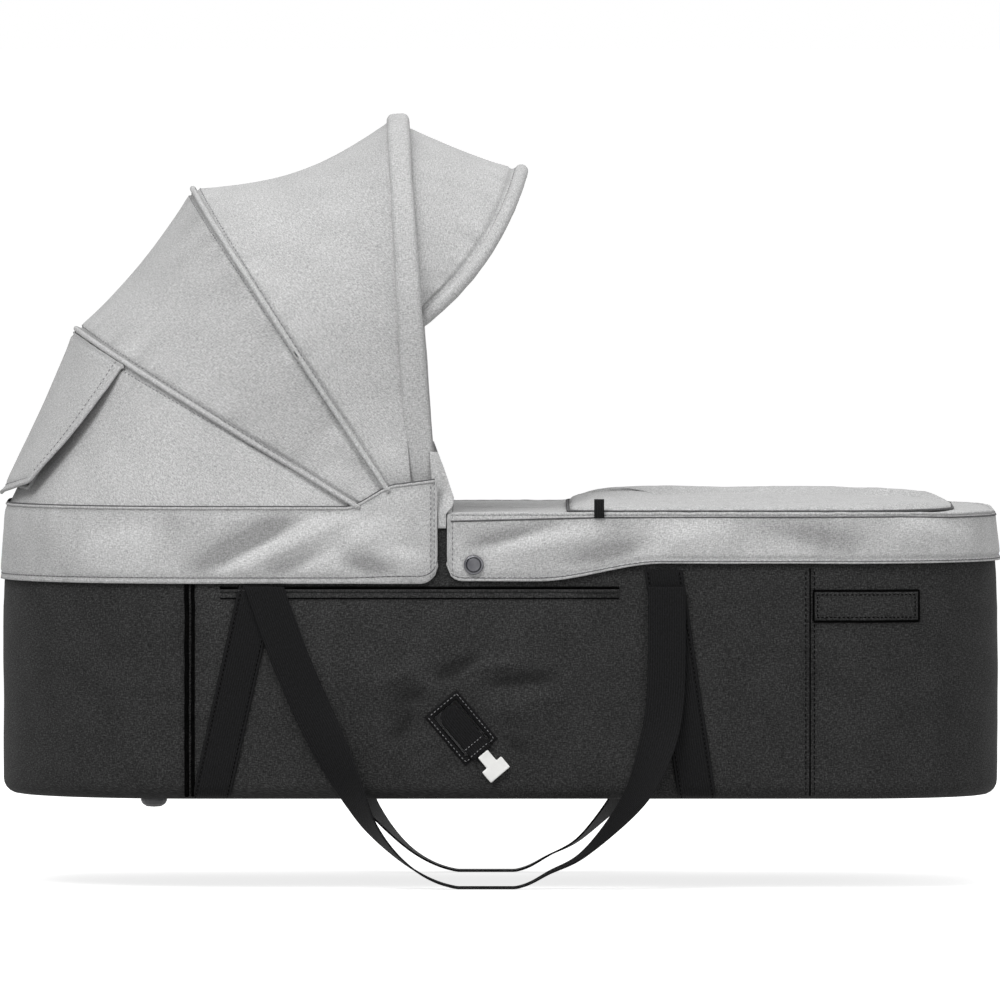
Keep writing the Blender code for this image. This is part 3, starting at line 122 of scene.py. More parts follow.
ANCHOR_WIDTH = 0.027

# Ports and label patches
PORT_X = -0.031
PORT_Z = 0.057
PORT_LENGTH = 0.051
PORT_WIDTH = 0.034
PORT_BAND = 0.0055
PORT_TURN_DEG = 50.0
PORT_SEAT = HALF_WIDTH + 0.0004
TONGUE_WIDTH = 0.019
TONGUE_LENGTH = 0.0465
PORT_FOLDS = (
    (-0.052, 0.098, -0.016, 0.112, 0.0050, -0.0060), (-0.058, 0.088, -0.080, 0.080, 0.0045, -0.0030),
    (-0.030, 0.104, 0.020, 0.110, 0.0060, 0.0044), (-0.010, 0.092, 0.040, 0.098, 0.0045, -0.0050),
    (-0.064, 0.104, -0.100, 0.092, 0.0070, 0.0042), (-0.070, 0.068, -0.086, 0.046, 0.0050, -0.0030),
    (0.008, 0.074, 0.050, 0.084, 0.0060, 0.0026), (-0.004, 0.052, 0.022, 0.040, 0.0050, -0.0026),
)
PATCH_START_X = HALF_LENGTH - 0.148
PATCH_LENGTH = 0.084
PATCH_FOOT_Z = WALL_HEIGHT - 0.0845
PATCH_HEIGHT = 0.024
PATCH_SEAM = 0.003
PATCH_PROUD = 0.0022

# Canopy
PIVOT = np.array((-0.060, 0, WALL_HEIGHT - 0.0265))
BOW_THICKNESS = 0.003
BOW_TENT = 0.0031
BOW_ARCH_RISE = 0.165
BOW_PITCH = 0.0048
BOW_OUTER_HALF_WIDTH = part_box("front_bow_strip")[1][1] - BOW_THICKNESS / 2
SLEEVE_FOOT_RADIUS = 0.054
SLEEVE_HALF_WIDTHS = (0.0100, 0.0082)
SLEEVE_PROUD = (0.0032, 0.0080)
SLEEVE_RISE_LENGTH = 0.120
PANEL_FLARE_HEIGHT = 0.075
SEAM = 0.0009
PANEL_HOLDERS = {"front": ("mid_bow", "front_bow"), "middle": ("cot_body", "mid_bow")}
GUSSET_PROFILE = (
    (-0.0105, -0.0495, -0.0430, 0.0014), (0.0015, -0.0495, -0.0428, 0.0008),
    (0.0070, -0.0500, -0.0375, -0.0020), (0.0135, -0.0530, -0.0365, -0.0055),
    (0.0375, -0.0555, -0.0448, -0.0130), (0.0500, -0.0560, -0.0495, -0.0145),
)
VISOR_AXIS_RADIUS = 0.175
VISOR_LEAN_DEG = 35.7
VISOR_REACH = 0.1515
VISOR_BULGE = 0.013
VISOR_RIM_RADIUS = 0.0055
VISOR_HALF_WIDTH = BOW_OUTER_HALF_WIDTH - 0.0158
VISOR_ARCH_RISE = 0.148
VISOR_START = 0.010
VISOR_COLUMNS = 171
VENT_TOP_HALF = HALF_WIDTH - 0.077
VENT_FOOT_HALF = HALF_WIDTH - 0.095

# Skirt
SKIRT_FRONT_X = -0.050
SKIRT_HEM_Z = WALL_HEIGHT - 0.0545
SKIRT_TOP_Z = WALL_HEIGHT + 0.0055
SKIRT_RISE_X = -0.124
SKIRT_SHOULDER_X = -0.080
SKIRT_SHOULDER_Z = WALL_HEIGHT + 0.0235
SKIRT_FRONT_Z = WALL_HEIGHT + 0.0275
SKIRT_CORNER = 0.014
BAND_PROUD = 0.0021
BAND_SINK = 0.0008
HEM_INSET = 0.0042
SKIRT_FOLDS = (
    (-0.250, 0.181, -0.160, 0.226, 0.0110, -0.0044), (-0.222, 0.177, -0.118, 0.226, 0.0100, 0.0058),
    (-0.192, 0.180, -0.124, 0.203, 0.0070, -0.0040), (-0.162, 0.186, -0.080, 0.218, 0.0120, 0.0040),
    (-0.130, 0.195, -0.082, 0.181, 0.0080, -0.0042), (-0.100, 0.196, -0.062, 0.190, 0.0070, 0.0026),
    (-0.330, 0.188, -0.270, 0.214, 0.0160, 0.0022),
)

# Apron
APRON_FRONT_X = -0.042
APRON_HEM_FRONT_Z = WALL_HEIGHT - 0.0525
APRON_HEM_FOOT_Z = WALL_HEIGHT - 0.0385
APRON_HEM_RISE_X = (0.030, 0.130)
APRON_CORNER = 0.012
APRON_ROUND = 0.003
APRON_FOLDS = (
    (-0.026, 0.203, 0.048, 0.222, 0.0055, -0.0036), (-0.010, 0.192, 0.082, 0.214, 0.0090, 0.0036),
    (0.046, 0.190, 0.130, 0.206, 0.0090, -0.0034), (0.110, 0.198, 0.190, 0.218, 0.0120, 0.0026),
    (0.206, 0.222, 0.290, 0.204, 0.0130, -0.0026), (0.318, 0.224, 0.370, 0.202, 0.0110, 0.0034),
)
SNAP_X, SNAP_Z = -0.0212, 0.1868
DECK_Z = WALL_HEIGHT + 0.0018
DECK_RISE = 0.0004
APRON_SIDE_TOP = DECK_Z - APRON_ROUND
PAD_START_X = 0.055
PAD_CORNER = 0.030
PAD_FOOT_IN = 0.030
PAD_SIDE_IN = 0.007
PAD_HEIGHT = 0.0072

# Lining
LINER_ROUND = 0.008
LINER_CHANNELS = 44

# Body seams
HEAD_SEAM_X = -0.247
FOOT_SEAM_X = 0.247
HEM_BAND_Z = 0.1675
HEM_BAND_X = (-0.235, 0.085)

# The photograph's view: a long lens a little above the rim, and its light
VIEW_ELEVATION_DEG = 1.5
VIEW_DISTANCE = 24.0
VIEW_WIDTH = 0.8030
VIEW_CENTRE_Z = 0.2335
WORLD_LIGHT = 0.40
PAPER_GLOW = 0.80
SENSOR_MM = 36
CLIP_RANGE = (0.1, 600)
FLOOR_HALF = 60
LIGHTS = (("key", (-1.2, -2.2, 2.6), 1.6, 66), ("fill", (2.6, -2.6, 1.4), 2.2, 24),
          ("top", (0.4, -0.2, 3.2), 2.4, 36), ("back", (0.5, 2.4, 1.8), 2.2, 16))
LIGHT_TARGET = (0, 0, 0.2)


def smooth_step(share):
    """0 to 1 with a soft start and stop."""
    share = np.clip(share, 0, 1)
    return share * share * (3 - 2 * share)


def between(start, stop, share):
    """The value at a share of the way from start to stop."""
    return start + (stop - start) * share


def quarter(count):
    """Count angles from 0 to a quarter turn."""
    return np.linspace(0, math.pi / 2, count)


def near_and_far(node, sign):
    """The y of a CAD piece's faces on one side: towards the middle plane and away from it."""
    low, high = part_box(node)
    return (low[1], high[1]) if sign > 0 else (high[1], low[1])


def noise_of(*axes):
    """Smooth noise from about -1 to 1 at arrays of three coordinates."""
    grid = np.stack(np.broadcast_arrays(*axes), axis=-1)
    values = [noise.noise(Vector(place)) for place in grid.reshape(-1, 3)]
    return np.array(values).reshape(grid.shape[:-1])


def along_line(points):
    """Distance of each point from the first along a line."""
    steps = np.linalg.norm(np.diff(points, axis=0), axis=1)
    return np.concatenate([[0], np.cumsum(steps)])


def resample(points, count):
    """Count points at even distances along a line."""
    points = np.array(points, float)
    lengths = along_line(points)
    even = np.linspace(0, lengths[-1], count)
    return np.stack([np.interp(even, lengths, points[:, k]) for k in range(3)], axis=1)


def resample_grid(points, rows, columns):
    """A grid at another count of rows and columns."""
    wide = np.array([resample(row, columns) for row in points])
    tall = np.array([resample(wide[:, k], rows) for k in range(columns)])
    return tall.transpose(1, 0, 2)


def ring_closed(points):
    """A ring of points with its first one again at the end."""
    return np.concatenate([points, points[:1]])


def parts_of(points):
    """The x, y and z of a grid of points."""
    return points[..., 0], points[..., 1], points[..., 2]


# Surfaces


class Surface:
    """A grid of points with the normals and lengths that cloth, seams and stitches need."""

    def __init__(self, rows, inside, closed=False, weights=None):
        self.points = np.array(rows, float)
        self.inside = np.array(inside, float)
        self.closed = closed
        self.weights = None if weights is None else np.broadcast_to(weights, self.points.shape[:2])
        self.relief = np.zeros(self.points.shape[:2])
        self.find_normals()
        down = np.linalg.norm(np.diff(self.points, axis=0), axis=2)
        self.down = np.concatenate([np.zeros((1, down.shape[1])), np.cumsum(down, axis=0)])
        ahead = np.roll(self.points, -1, axis=1) if closed else self.points[:, 1:]
        across = np.linalg.norm(ahead - self.points[:, :ahead.shape[1]], axis=2)
        self.across = np.concatenate([np.zeros((across.shape[0], 1)), np.cumsum(across, axis=1)], axis=1)
        self.flip = False

    def raw_normals(self):
        """Normals as the order of the points gives them."""
        if self.closed:
            across = np.roll(self.points, -1, axis=1) - np.roll(self.points, 1, axis=1)
        else:
            across = np.gradient(self.points, axis=1)
        return np.cross(across, np.gradient(self.points, axis=0))

    def find_normals(self):
        normals = self.raw_normals()
        normals /= np.maximum(np.linalg.norm(normals, axis=2, keepdims=True), 1e-12)
        self.flip = ((self.points - self.inside) * normals).sum() < 0
        self.normals = -normals if self.flip else normals

    def push(self, heights, soft=0.0):
        """Move every point along its normal. The cloth's colour gets painted shade and highlight from
        heights, not from soft.
        """
        self.points = self.points + self.normals * (heights + soft)[..., None]
        self.relief = self.relief + heights
        self.find_normals()

    def line_at(self, share, axis):
        """Points, normals and weights at a share of the rows (axis 0) or columns (axis 1)."""
        place = share * (self.points.shape[axis] - 1)
        low = min(int(place), self.points.shape[axis] - 2)
        part = place - low

        def mixed(grid):
            return grid.take(low, axis) * (1 - part) + grid.take(low + 1, axis) * part

        return [None if grid is None else mixed(grid) for grid in (self.points, self.normals, self.weights)]

    def row_line(self, share):
        return self.line_at(share, 0)

    def column_line(self, share):
        return self.line_at(share, 1)

    def level_line(self, count, heights):
        """Points where the first rows of the grid cross a height of each column."""
        points = []
        for column, height in enumerate(heights):
            part = self.points[:count, column]
            points.append([np.interp(height, part[:, 2], part[:, k]) for k in range(3)])
        return np.array(points)

    def edge_distance(self):
        """Distance of each point from the first row, and from the last."""
        return self.down, self.down[-1] - self.down

    def end_distance(self):
        """Distance of each point from the nearer end of its row."""
        return np.minimum(self.across, self.across[:, -1:] - self.across)


def mesh_item(name, points, faces, uvs, finish):
    """A smooth mesh object with a UV map in metres."""
    mesh = bpy.data.meshes.new(name)
    mesh.from_pydata([tuple(point) for point in points], [], faces)
    if uvs is not None:
        layer = mesh.uv_layers.new(name="metres")
        layer.data.foreach_set("uv", np.array(uvs, np.float32).ravel())
    mesh.materials.append(FINISHES[finish])
    mesh.shade_smooth()
    item = bpy.data.objects.new(name, mesh)
    bpy.context.scene.collection.objects.link(item)
    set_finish(item, SLOTS[finish])
    return item


def surface_item(name, surface, finish, skip=None, cap=False, cap_end=False):
    """The mesh of a surface. skip(i, j) leaves a face out; the caps close its first and last row."""
    rows, columns = surface.points.shape[:2]
    faces, uvs = [], []
    for i in range(rows - 1):
        for j in range(columns if surface.closed else columns - 1):
            if skip and skip(i, j):
                continue
            k = (j + 1) % columns
            corners = [(i, j, j), (i, k, j + 1), (i + 1, k, j + 1), (i + 1, j, j)]
            if surface.flip:
                corners = corners[::-1]
            faces.append([row * columns + column for row, column, _ in corners])
            uvs += [(surface.across[row][place], surface.down[row][column])
                    for row, column, place in corners]
    for wanted, row, turned in ((cap, 0, not surface.flip), (cap_end, rows - 1, surface.flip)):
        if wanted:
            order = range(columns)[::-1] if turned else range(columns)
            faces.append([row * columns + column for column in order])
            uvs += [tuple(surface.points[row][column][:2]) for column in order]
    item = mesh_item(name, surface.points.reshape(-1, 3), faces, uvs, finish)
    # The relief heights go to the mesh, where the cloth finishes paint shade in creases and a highlight on
    # raised cloth
    if surface.relief.any():
        relief = item.data.attributes.new("relief", "FLOAT", "POINT")
        relief.data.foreach_set("value", surface.relief.astype(np.float32).ravel())
    return item


def attach(item, holder):
    """Ride on one body; a piece held by two keeps its points where they are."""
    if isinstance(holder, str):
        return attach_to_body(item, holder)
    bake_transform(item)
    return item


def thicken(item, thickness, offset=-1):
    """Give a sheet its thickness, inward unless the offset says otherwise."""
    solid = item.modifiers.new("thickness", "SOLIDIFY")
    solid.thickness = thickness
    solid.offset = offset
    return item


def cloth(name, surface, finish, holder, nodes=(), thickness=CLOTH,
          skip=None):
    """One sheet of fabric: its mesh, its body, its thickness and the nodes it stands for."""
    item = surface_item(name, surface, finish, skip=skip)
    attach(item, holder)
    thicken(item, thickness)
    if nodes:
        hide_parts(*nodes)


def small_cloth(name, surface, finish, body, node, thickness=CLOTH, offset=-1):
    """A small thick piece of fabric or webbing on one body, in place of one CAD piece."""
    item = thicken(surface_item(name, surface, finish), thickness, offset)
    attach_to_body(item, body)
    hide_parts(node)
    return item


def tube_surface(line, radius, sides):
    """Rings of a cord, piping or rim along a line."""
    line = np.array(line, float)
    along = np.gradient(line, axis=0)
    along /= np.linalg.norm(along, axis=1, keepdims=True)
    up = np.array((0.0, 0.0, 1.0)) if abs(along[0][2]) < 0.9 else np.array((1.0, 0.0, 0.0))
    rows = []
    turns = np.linspace(0, 2 * math.pi, sides, endpoint=False)
    for point, direction, size in zip(line, along, np.broadcast_to(radius, len(line))):
        up = up - direction * up.dot(direction)
        up /= np.linalg.norm(up)
        side = np.cross(direction, up)
        rows.append([point + size * (up * math.cos(t) + side * math.sin(t)) for t in turns])
    surface = Surface(rows, line.mean(axis=0), closed=True)
    surface.flip = ((surface.points - line[:, None, :]) * surface.raw_normals()).sum() < 0
    return surface


def piping(name, line, radius, finish, holder, nodes=(), sides=8):
    """A round cord of fabric along a line, closed at both ends."""
    surface = tube_surface(line, radius, sides)
    item = surface_item(name, surface, finish, cap=True, cap_end=True)
    attach(item, holder)
    if nodes:
        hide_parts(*nodes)
    return item


def stitches(name, line, normals, holder, weights=None, finish="thread_grey", pitch=0.0042,
             length=0.0031, radius=0.00034):
    """A row of thread stitches, each a spindle sunk a little in the cloth along a line."""
    lengths = along_line(line)
    count = max(int(lengths[-1] / pitch), 1)

    def at(values, place):
        return np.array([np.interp(place, lengths, values[:, k]) for k in range(values.shape[1])])

    points, faces, spread = [], [], []
    for start in (np.arange(count) + 0.5) * pitch - length / 2:
        middle = start + length / 2
        ends = [at(line, start), at(line, start + length)]
        normal = at(normals, middle)
        normal /= max(np.linalg.norm(normal), 1e-9)
        along = ends[1] - ends[0]
        if np.linalg.norm(along) < 1e-7:
            continue
        side = np.cross(along / np.linalg.norm(along), normal)
        base = len(points)
        points += [end - normal * radius * 0.6 for end in ends]
        for place in (0.28, 0.72):
            heart = ends[0] + along * place + normal * radius * 0.7
            points += [heart + side * radius, heart + normal * radius, heart - side * radius,
                       heart - normal * radius]
        for k in range(4):
            low, low_after = base + 2 + k, base + 2 + (k + 1) % 4
            faces += [(base, low, low_after), (low, low + 4, low_after + 4, low_after),
                      (base + 1, low_after + 4, low + 4)]
        if weights is not None:
            spread += [float(np.interp(middle, lengths, weights))] * 10
    return attach(mesh_item(name, points, faces, None, finish), holder)


def thread(name, surface, holder, row=None, column=None, cut=(0, 0), **size):
    """Stitches along one row or column of a surface, by its share, less some points at each end."""
    line, normals, weights = surface.row_line(row) if column is None else surface.column_line(column)
    span = slice(cut[0], len(line) - cut[1])
    stitches(name, line[span], normals[span], holder, weights, **size)


def seam_cord(name, surface, row, lift, radius, finish, holder, cut=0, sides=8, up=0.0):
    """Piping along one row of a surface, moved along its normals by lift and upward by up."""
    line, normals, weights = surface.row_line(row)
    span = slice(cut, len(line) - cut)
    line = line[span] + normals[span] * lift + (0, 0, up)
    piping(name, line, radius, finish, holder, sides=sides)


def front_threads(name, surface, body, place):
    """A row of stitches down each front edge of a band, some columns in from it."""
    share = place / (surface.points.shape[1] - 1)
    for side, column in (("right", share), ("left", 1 - share)):
        thread(f"{name}_{side}", surface, body, column=column)


def seam_heights(distance, along, seed, depth=0.0010, width=0.0022, pucker=0.0007, reach=0.016,
                 pitch=0.011):
    """Heights that draw cloth down to a seam and gather it beside the seam."""
    distance = np.abs(distance)
    groove = -depth * np.exp(-(distance / width) ** 2)
    gather = noise_of(along / pitch, distance / (reach * 2.5), np.full_like(along, seed))
    fade = np.exp(-distance / reach) * (1 - np.exp(-distance / width))
    return groove + pucker * gather * fade


def fold_heights(x, z, folds):
    """Soft folds and hollows along lines on a wall: (x, z) from, (x, z) to, half width, height."""
    heights = np.zeros_like(x)
    for x0, z0, x1, z1, width, height in folds:
        length = math.hypot(x1 - x0, z1 - z0)
        along = ((x - x0) * (x1 - x0) + (z - z0) * (z1 - z0)) / length ** 2
        away = ((x - x0) * (z1 - z0) - (z - z0) * (x1 - x0)) / length
        taper = np.sin(math.pi * np.clip((along + 0.1) / 1.2, 0, 1))
        heights += height * taper * np.exp(-(away / width) ** 2)
    return heights


def soft_heights(points, seed, size=0.070, amount=0.0012):
    """Slow hollows and swells over a piece of cloth."""
    return amount * noise_of(*parts_of(points / size + seed))


# Materials


FINISHES = {}
SLOTS = {}
BAND_PERIOD = 2 * math.pi / 20
# Painted shade and highlight: the cloth's colour times 0.64 in the deepest creases, up to 1.15 on raised
# cloth, by its relief heights
RELIEF_PAINTED_SHADE_AND_HIGHLIGHT = {"From Min": -0.0024, "From Max": 0.0010, "To Min": 0.64, "To Max": 1.15}


class Nodes:
    """Short calls for one material's node tree."""

    def __init__(self, finish, slot):
        self.material = bpy.data.materials.new(finish)
        self.material.use_nodes = True
        self.tree = self.material.node_tree
        self.shader = self.tree.nodes["Principled BSDF"]
        FINISHES[finish] = self.material
        SLOTS[finish] = slot

    def add(self, kind, links=(), sockets=(), **values):
        """A node with its values, the sockets' own values and the links into it."""
        node = self.tree.nodes.new("ShaderNode" + kind)
        for key, value in values.items():
            setattr(node, key, value)
        for socket, value in dict(sockets).items():
            node.inputs[socket].default_value = value
        for socket, start in dict(links).items():
            self.link(start, node.inputs[socket])
        return node

    def link(self, start, end):
        self.tree.links.new(start, end)

    def texture(self, kind, metres, scale, sockets, **values):
        """A texture in metres of the UV map ("uv") or of the object itself ("object")."""
        node = self.add(kind, sockets={"Scale": 1.0, **sockets}, **values)
        source = self.add("TexCoord")
        place = source.outputs["UV" if metres == "uv" else "Object"]
        mapping = self.add("Mapping", {"Vector": place}, {"Scale": scale})
        self.link(mapping.outputs["Vector"], node.inputs["Vector"])
        return node.outputs["Fac"]

    def grain(self, metres, scale, detail=3.0):
        scale = scale if isinstance(scale, tuple) else (scale,) * 3
        return self.texture("TexNoise", metres, scale, {"Detail": detail})

    def wave(self, metres, scale, direction):
        return self.texture("TexWave", metres, scale, {"Distortion": 0.6}, wave_type="BANDS",
                            bands_direction=direction)

    def math(self, operation, one, two):
        node = self.add("Math", operation=operation)
        for socket, value in zip(node.inputs, (one, two)):
            if isinstance(value, (int, float)):
                socket.default_value = value
            else:
                self.link(value, socket)
        return node.outputs[0]

    def mix(self, one, one_share, two, two_share):
        """The sum of two values, each times its share."""
        return self.math("ADD", self.math("MULTIPLY", one, one_share),
                         self.math("MULTIPLY", two, two_share))

    def ramp(self, value, stops):
        """A colour ramp. A stop's colour is a grey's one number or three of them."""
        stops = [(position, (*(color if isinstance(color, tuple) else (color,) * 3), 1))
                 for position, color in stops]
        node = self.add("ValToRGB", {"Fac": value})
        for element, (position, color) in zip(node.color_ramp.elements, (stops[0], stops[-1])):
            element.position, element.color = position, color
        for position, color in stops[1:-1]:
            node.color_ramp.elements.new(position).color = color
        return node.outputs["Color"]

    def tint(self, value, stops):
        """A colour ramp as the base colour."""
        self.link(self.ramp(value, stops), self.shader.inputs["Base Color"])

    def bump(self, height, strength, distance):
        node = self.add("Bump", {"Height": height}, {"Strength": strength, "Distance": distance})
        self.link(node.outputs["Normal"], self.shader.inputs["Normal"])

    def finish(self, roughness, **values):
        self.shader.inputs["Roughness"].default_value = roughness
        for key, value in values.items():
            self.shader.inputs[key.replace("_", " ")].default_value = value


def melange(finish, slot, tones, pitch=0.0011, metres="uv", bump=0.35, sheen=0.03, shine=0.1):
    """Yarn-dyed cloth of three tones over a plain weave, with painted shade in its creases and seams and a
    painted highlight where the cloth stands up.
    """
    nodes = Nodes(finish, slot)
    weft = nodes.grain(metres, (260, 1500, 700), 4)
    warp = nodes.grain(metres, (1500, 260, 700), 4)
    pepper = nodes.grain(metres, 760, 2)
    cloud = nodes.grain(metres, 34, 2)
    threads = nodes.mix(weft, 0.55, warp, 0.45)
    mixed = nodes.mix(threads, 0.60, pepper, 0.34)
    tone = nodes.math("ADD", mixed, nodes.math("MULTIPLY", cloud, 0.06))
    color = nodes.ramp(tone, list(zip((0.40, 0.50, 0.60), tones)))
    # Painted shade and highlight from the relief attribute: darker in creases and seams, lighter on raised
    # cloth
    relief = nodes.add("Attribute", attribute_name="relief")
    shade = nodes.add("MapRange", {"Value": relief.outputs["Fac"]}, RELIEF_PAINTED_SHADE_AND_HIGHLIGHT)
    shade_painted_color = nodes.add("VectorMath", {0: color, "Scale": shade.outputs["Result"]}, operation="SCALE")
    nodes.link(shade_painted_color.outputs["Vector"], nodes.shader.inputs["Base Color"])
    bands = (BAND_PERIOD / pitch,) * 3
    weave = nodes.math("MULTIPLY", nodes.wave(metres, bands, "X"), nodes.wave(metres, bands, "Y"))
    nodes.bump(nodes.mix(weave, 0.5, threads, 0.9), bump, 0.0006)
    nodes.finish(0.92, Sheen_Weight=sheen, Sheen_Roughness=0.5, Specular_IOR_Level=shine)


def webbing(finish, slot, dark, light):
    """Close ribs along a woven tape with a fine twill across them."""
    nodes = Nodes(finish, slot)
    rib = nodes.wave("uv", (BAND_PERIOD / 0.0019, BAND_PERIOD / 0.0019, 1), "X")
    twill = nodes.wave("uv", (BAND_PERIOD / 0.0011, BAND_PERIOD / 0.0011, 1), "DIAGONAL")
    fibre = nodes.grain("uv", (1200, 500, 1), 3)
    nodes.tint(nodes.mix(fibre, 0.8, rib, 0.2), [(0.35, dark), (0.7, light)])
    nodes.bump(nodes.mix(rib, 0.7, twill, 0.4), 0.5, 0.0005)
    nodes.finish(0.66, Sheen_Weight=0.01, Sheen_Roughness=0.4, Specular_IOR_Level=0.07)


def moulded(finish, slot, dark, light, roughness, metallic=0.0):
    """Moulded plastic or metal with a fine grain and a little wear in its tone."""
    nodes = Nodes(finish, slot)
    wear = nodes.grain("object", 60, 5)
    nodes.tint(wear, [(0.35, dark), (0.65, light)])
    nodes.bump(nodes.grain("object", 900.0, 2), 0.12, 0.0003)
    rough = nodes.math("ADD", nodes.math("MULTIPLY", wear, 0.16), roughness - 0.08)
    nodes.link(rough, nodes.shader.inputs["Roughness"])
    nodes.shader.inputs["Metallic"].default_value = metallic


def lined(finish, slot, dark, light, scale, detail, strength, depth, roughness, **values):
    """Drawn metal or pressed board, with lines or flecks along it."""
    nodes = Nodes(finish, slot)
    lines = nodes.grain("object", scale, detail)
    nodes.tint(lines, [(0.35, dark), (0.65, light)])
    nodes.bump(lines, strength, depth)
    nodes.finish(roughness, **values)


def make_finishes():
    grey, dark = "grey_fabric", "charcoal_fabric"
    fleck = (0.31, 0.455, 0.61)
    fine = {"pitch": 0.0005, "metres": "object"}
    melange("grey_melange", grey, fleck, sheen=0.10)
    melange("grey_melange_pad", grey, fleck, metres="object", sheen=0.10)
    melange("charcoal_melange", dark, (0.010, 0.027, 0.062))
    melange("lining_jersey", "lining_fabric", ((0.50, 0.50, 0.51), (0.58, 0.58, 0.59), (0.66, 0.66, 0.67)),
            pitch=0.0016, bump=0.25)
    melange("mattress_jersey", "mattress_fabric",
            ((0.70, 0.70, 0.69), (0.76, 0.76, 0.75), (0.81, 0.81, 0.80)),
            pitch=0.0018, metres="object", bump=0.25)
    melange("net_black", "mesh_net", (0.02, 0.03, 0.05))
    melange("thread_grey", grey, ((0.17, 0.17, 0.175), (0.24, 0.24, 0.245), (0.31, 0.31, 0.315)), **fine)
    # A dark grey for cords that are painted shadow along seams, hems and the pad's edge, not thread
    melange("painted_shadow_grey", grey, ((0.07, 0.07, 0.072), (0.11, 0.11, 0.112), (0.15, 0.15, 0.152)), **fine)
    # Near-black for dark thread, and for cords that are painted shadow by the hem band's fold, round the
    # patch and in the head seam
    melange("dark_thread_and_painted_shadow", dark, (0.0010, 0.0022, 0.0050), sheen=0.0, shine=0.0, **fine)
    webbing("web_black", "black_webbing", 0.004, (0.014, 0.014, 0.015))
    moulded("plastic_black", "black_plastic", (0.014, 0.014, 0.015), (0.026, 0.026, 0.028), 0.48)
    moulded("plastic_white", "white_plastic", (0.78, 0.78, 0.76), (0.88, 0.88, 0.86), 0.36)
    moulded("snap_dark", "dark_snap", (0.10, 0.10, 0.11), (0.17, 0.17, 0.18), 0.35, metallic=0.7)
    for metal, dark_tone, light_tone, roughness in (
            ("bow_steel", (0.42, 0.43, 0.44), (0.60, 0.61, 0.62), 0.34),
            ("rim_aluminium", (0.55, 0.56, 0.57), (0.72, 0.73, 0.74), 0.38)):
        lined(metal, metal, dark_tone, light_tone, (90, 2200, 2200), 3, 0.15, 0.0002, roughness,
              Metallic=1.0)
    for board in ("stiffener_board", "base_board"):
        lined(board, board, (0.24, 0.22, 0.19), (0.36, 0.33, 0.29), (140, 420, 420), 5, 0.3, 0.0006, 0.85)


def dress_nodes():
    """Give every CAD piece that stays in view its own finish."""
    pairs = {"plastic_black": ("canopy_hub", "visor_pin", "base_foot"), "plastic_white": ("t_clip",),
             "snap_dark": ("apron_snap", "snap_stud"), "bow_steel": ("hub_rivet",)}
    singles = {"bow_steel": ("front_bow_strip", "mid_bow_strip", "rear_bow_strip"),
               "rim_aluminium": ("rim_frame",), "stiffener_board": ("wall_stiffener",),
               "base_board": ("base_board",)}
    dressed = [(finish, name) for finish, names in singles.items() for name in names]
    dressed += [(finish, f"{name}_{side}") for finish, names in pairs.items() for name in names
                for side, _ in SIDES]
    for finish, name in dressed:
        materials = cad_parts[name].data.materials
        materials.clear()
        materials.append(FINISHES[finish])


# Plan lines of the body


def end_path(end, offset, start_x, straight=0.006, z=0.0):
    """Plan line round one end, from start_x on the near side to start_x on the far side."""
    corner = FOOT_CORNER if end > 0 else HEAD_CORNER
    centre_x = end * (HALF_LENGTH - corner)
    centre_y = HALF_WIDTH - corner
    radius = corner + offset
    count = max(int(abs(centre_x - start_x) / straight), 2)
    near = [(x, -HALF_WIDTH - offset) for x in np.linspace(start_x, centre_x, count, endpoint=False)]
    turns = np.linspace(0, math.pi / 2, int(corner * math.pi / 2 / straight))
    near += [(centre_x + end * radius * math.sin(t), -centre_y - radius * math.cos(t)) for t in turns]
    cap = [(end * (HALF_LENGTH + offset), y)
           for y in np.linspace(-centre_y, centre_y, int(2 * centre_y / straight))[1:-1]]
    path = near + cap + [(x, -y) for x, y in reversed(near)]
    return np.array([(x, y, z) for x, y in path])


def outline(offset, z=0.0):
    """The whole plan outline as a closed ring at one height."""
    foot = end_path(1, offset, 0, z=z)
    head = end_path(-1, offset, 0, z=z)
    return np.concatenate([foot, head[::-1][1:-1]])


def lean_in(z):
    """How far the wall leans inward at a height."""
    return WALL_LEAN * np.maximum(z - WALL_LEAN_Z, 0) / (WALL_HEIGHT - WALL_LEAN_Z)


def plan_half_width(x, offset=0):
    """Half the width of the plan outline at x."""
    corner = FOOT_CORNER if x > 0 else HEAD_CORNER
    along = abs(x) - (HALF_LENGTH - corner)
    if along <= 0:
        return HALF_WIDTH + offset
    radius = corner + offset
    return HALF_WIDTH - corner + math.sqrt(max(radius * radius - along * along, 0))


def wall_y(x, z, offset):
    """Distance from the middle plane to the outside of the wall, offset outward."""
    under = max(BASE_ROUND - z, 0)
    radius = BASE_ROUND + offset
    tuck = radius - math.sqrt(max(radius * radius - under * under, 0))
    return plan_half_width(x, offset - float(lean_in(z))) - tuck


# Body


def port_axes():
    turn = math.radians(PORT_TURN_DEG)
    return np.array((math.cos(turn), 0, -math.sin(turn))), np.array((math.sin(turn), 0, math.cos(turn)))


def port_point(along, across, y):
    """A point from a port's centre by its own two axes."""
    long_axis, short_axis = port_axes()
    return np.array((PORT_X, y, PORT_Z)) + long_axis * along + short_axis * across


def port_distance(x, z):
    """How far a point of the wall is outside the port's opening."""
    long_axis, short_axis = port_axes()
    dx, dz = x - PORT_X, z - PORT_Z
    along = np.abs(dx * long_axis[0] + dz * long_axis[2]) - PORT_LENGTH / 2
    across = np.abs(dx * short_axis[0] + dz * short_axis[2]) - PORT_WIDTH / 2
    return np.hypot(np.maximum(along, 0), np.maximum(across, 0))


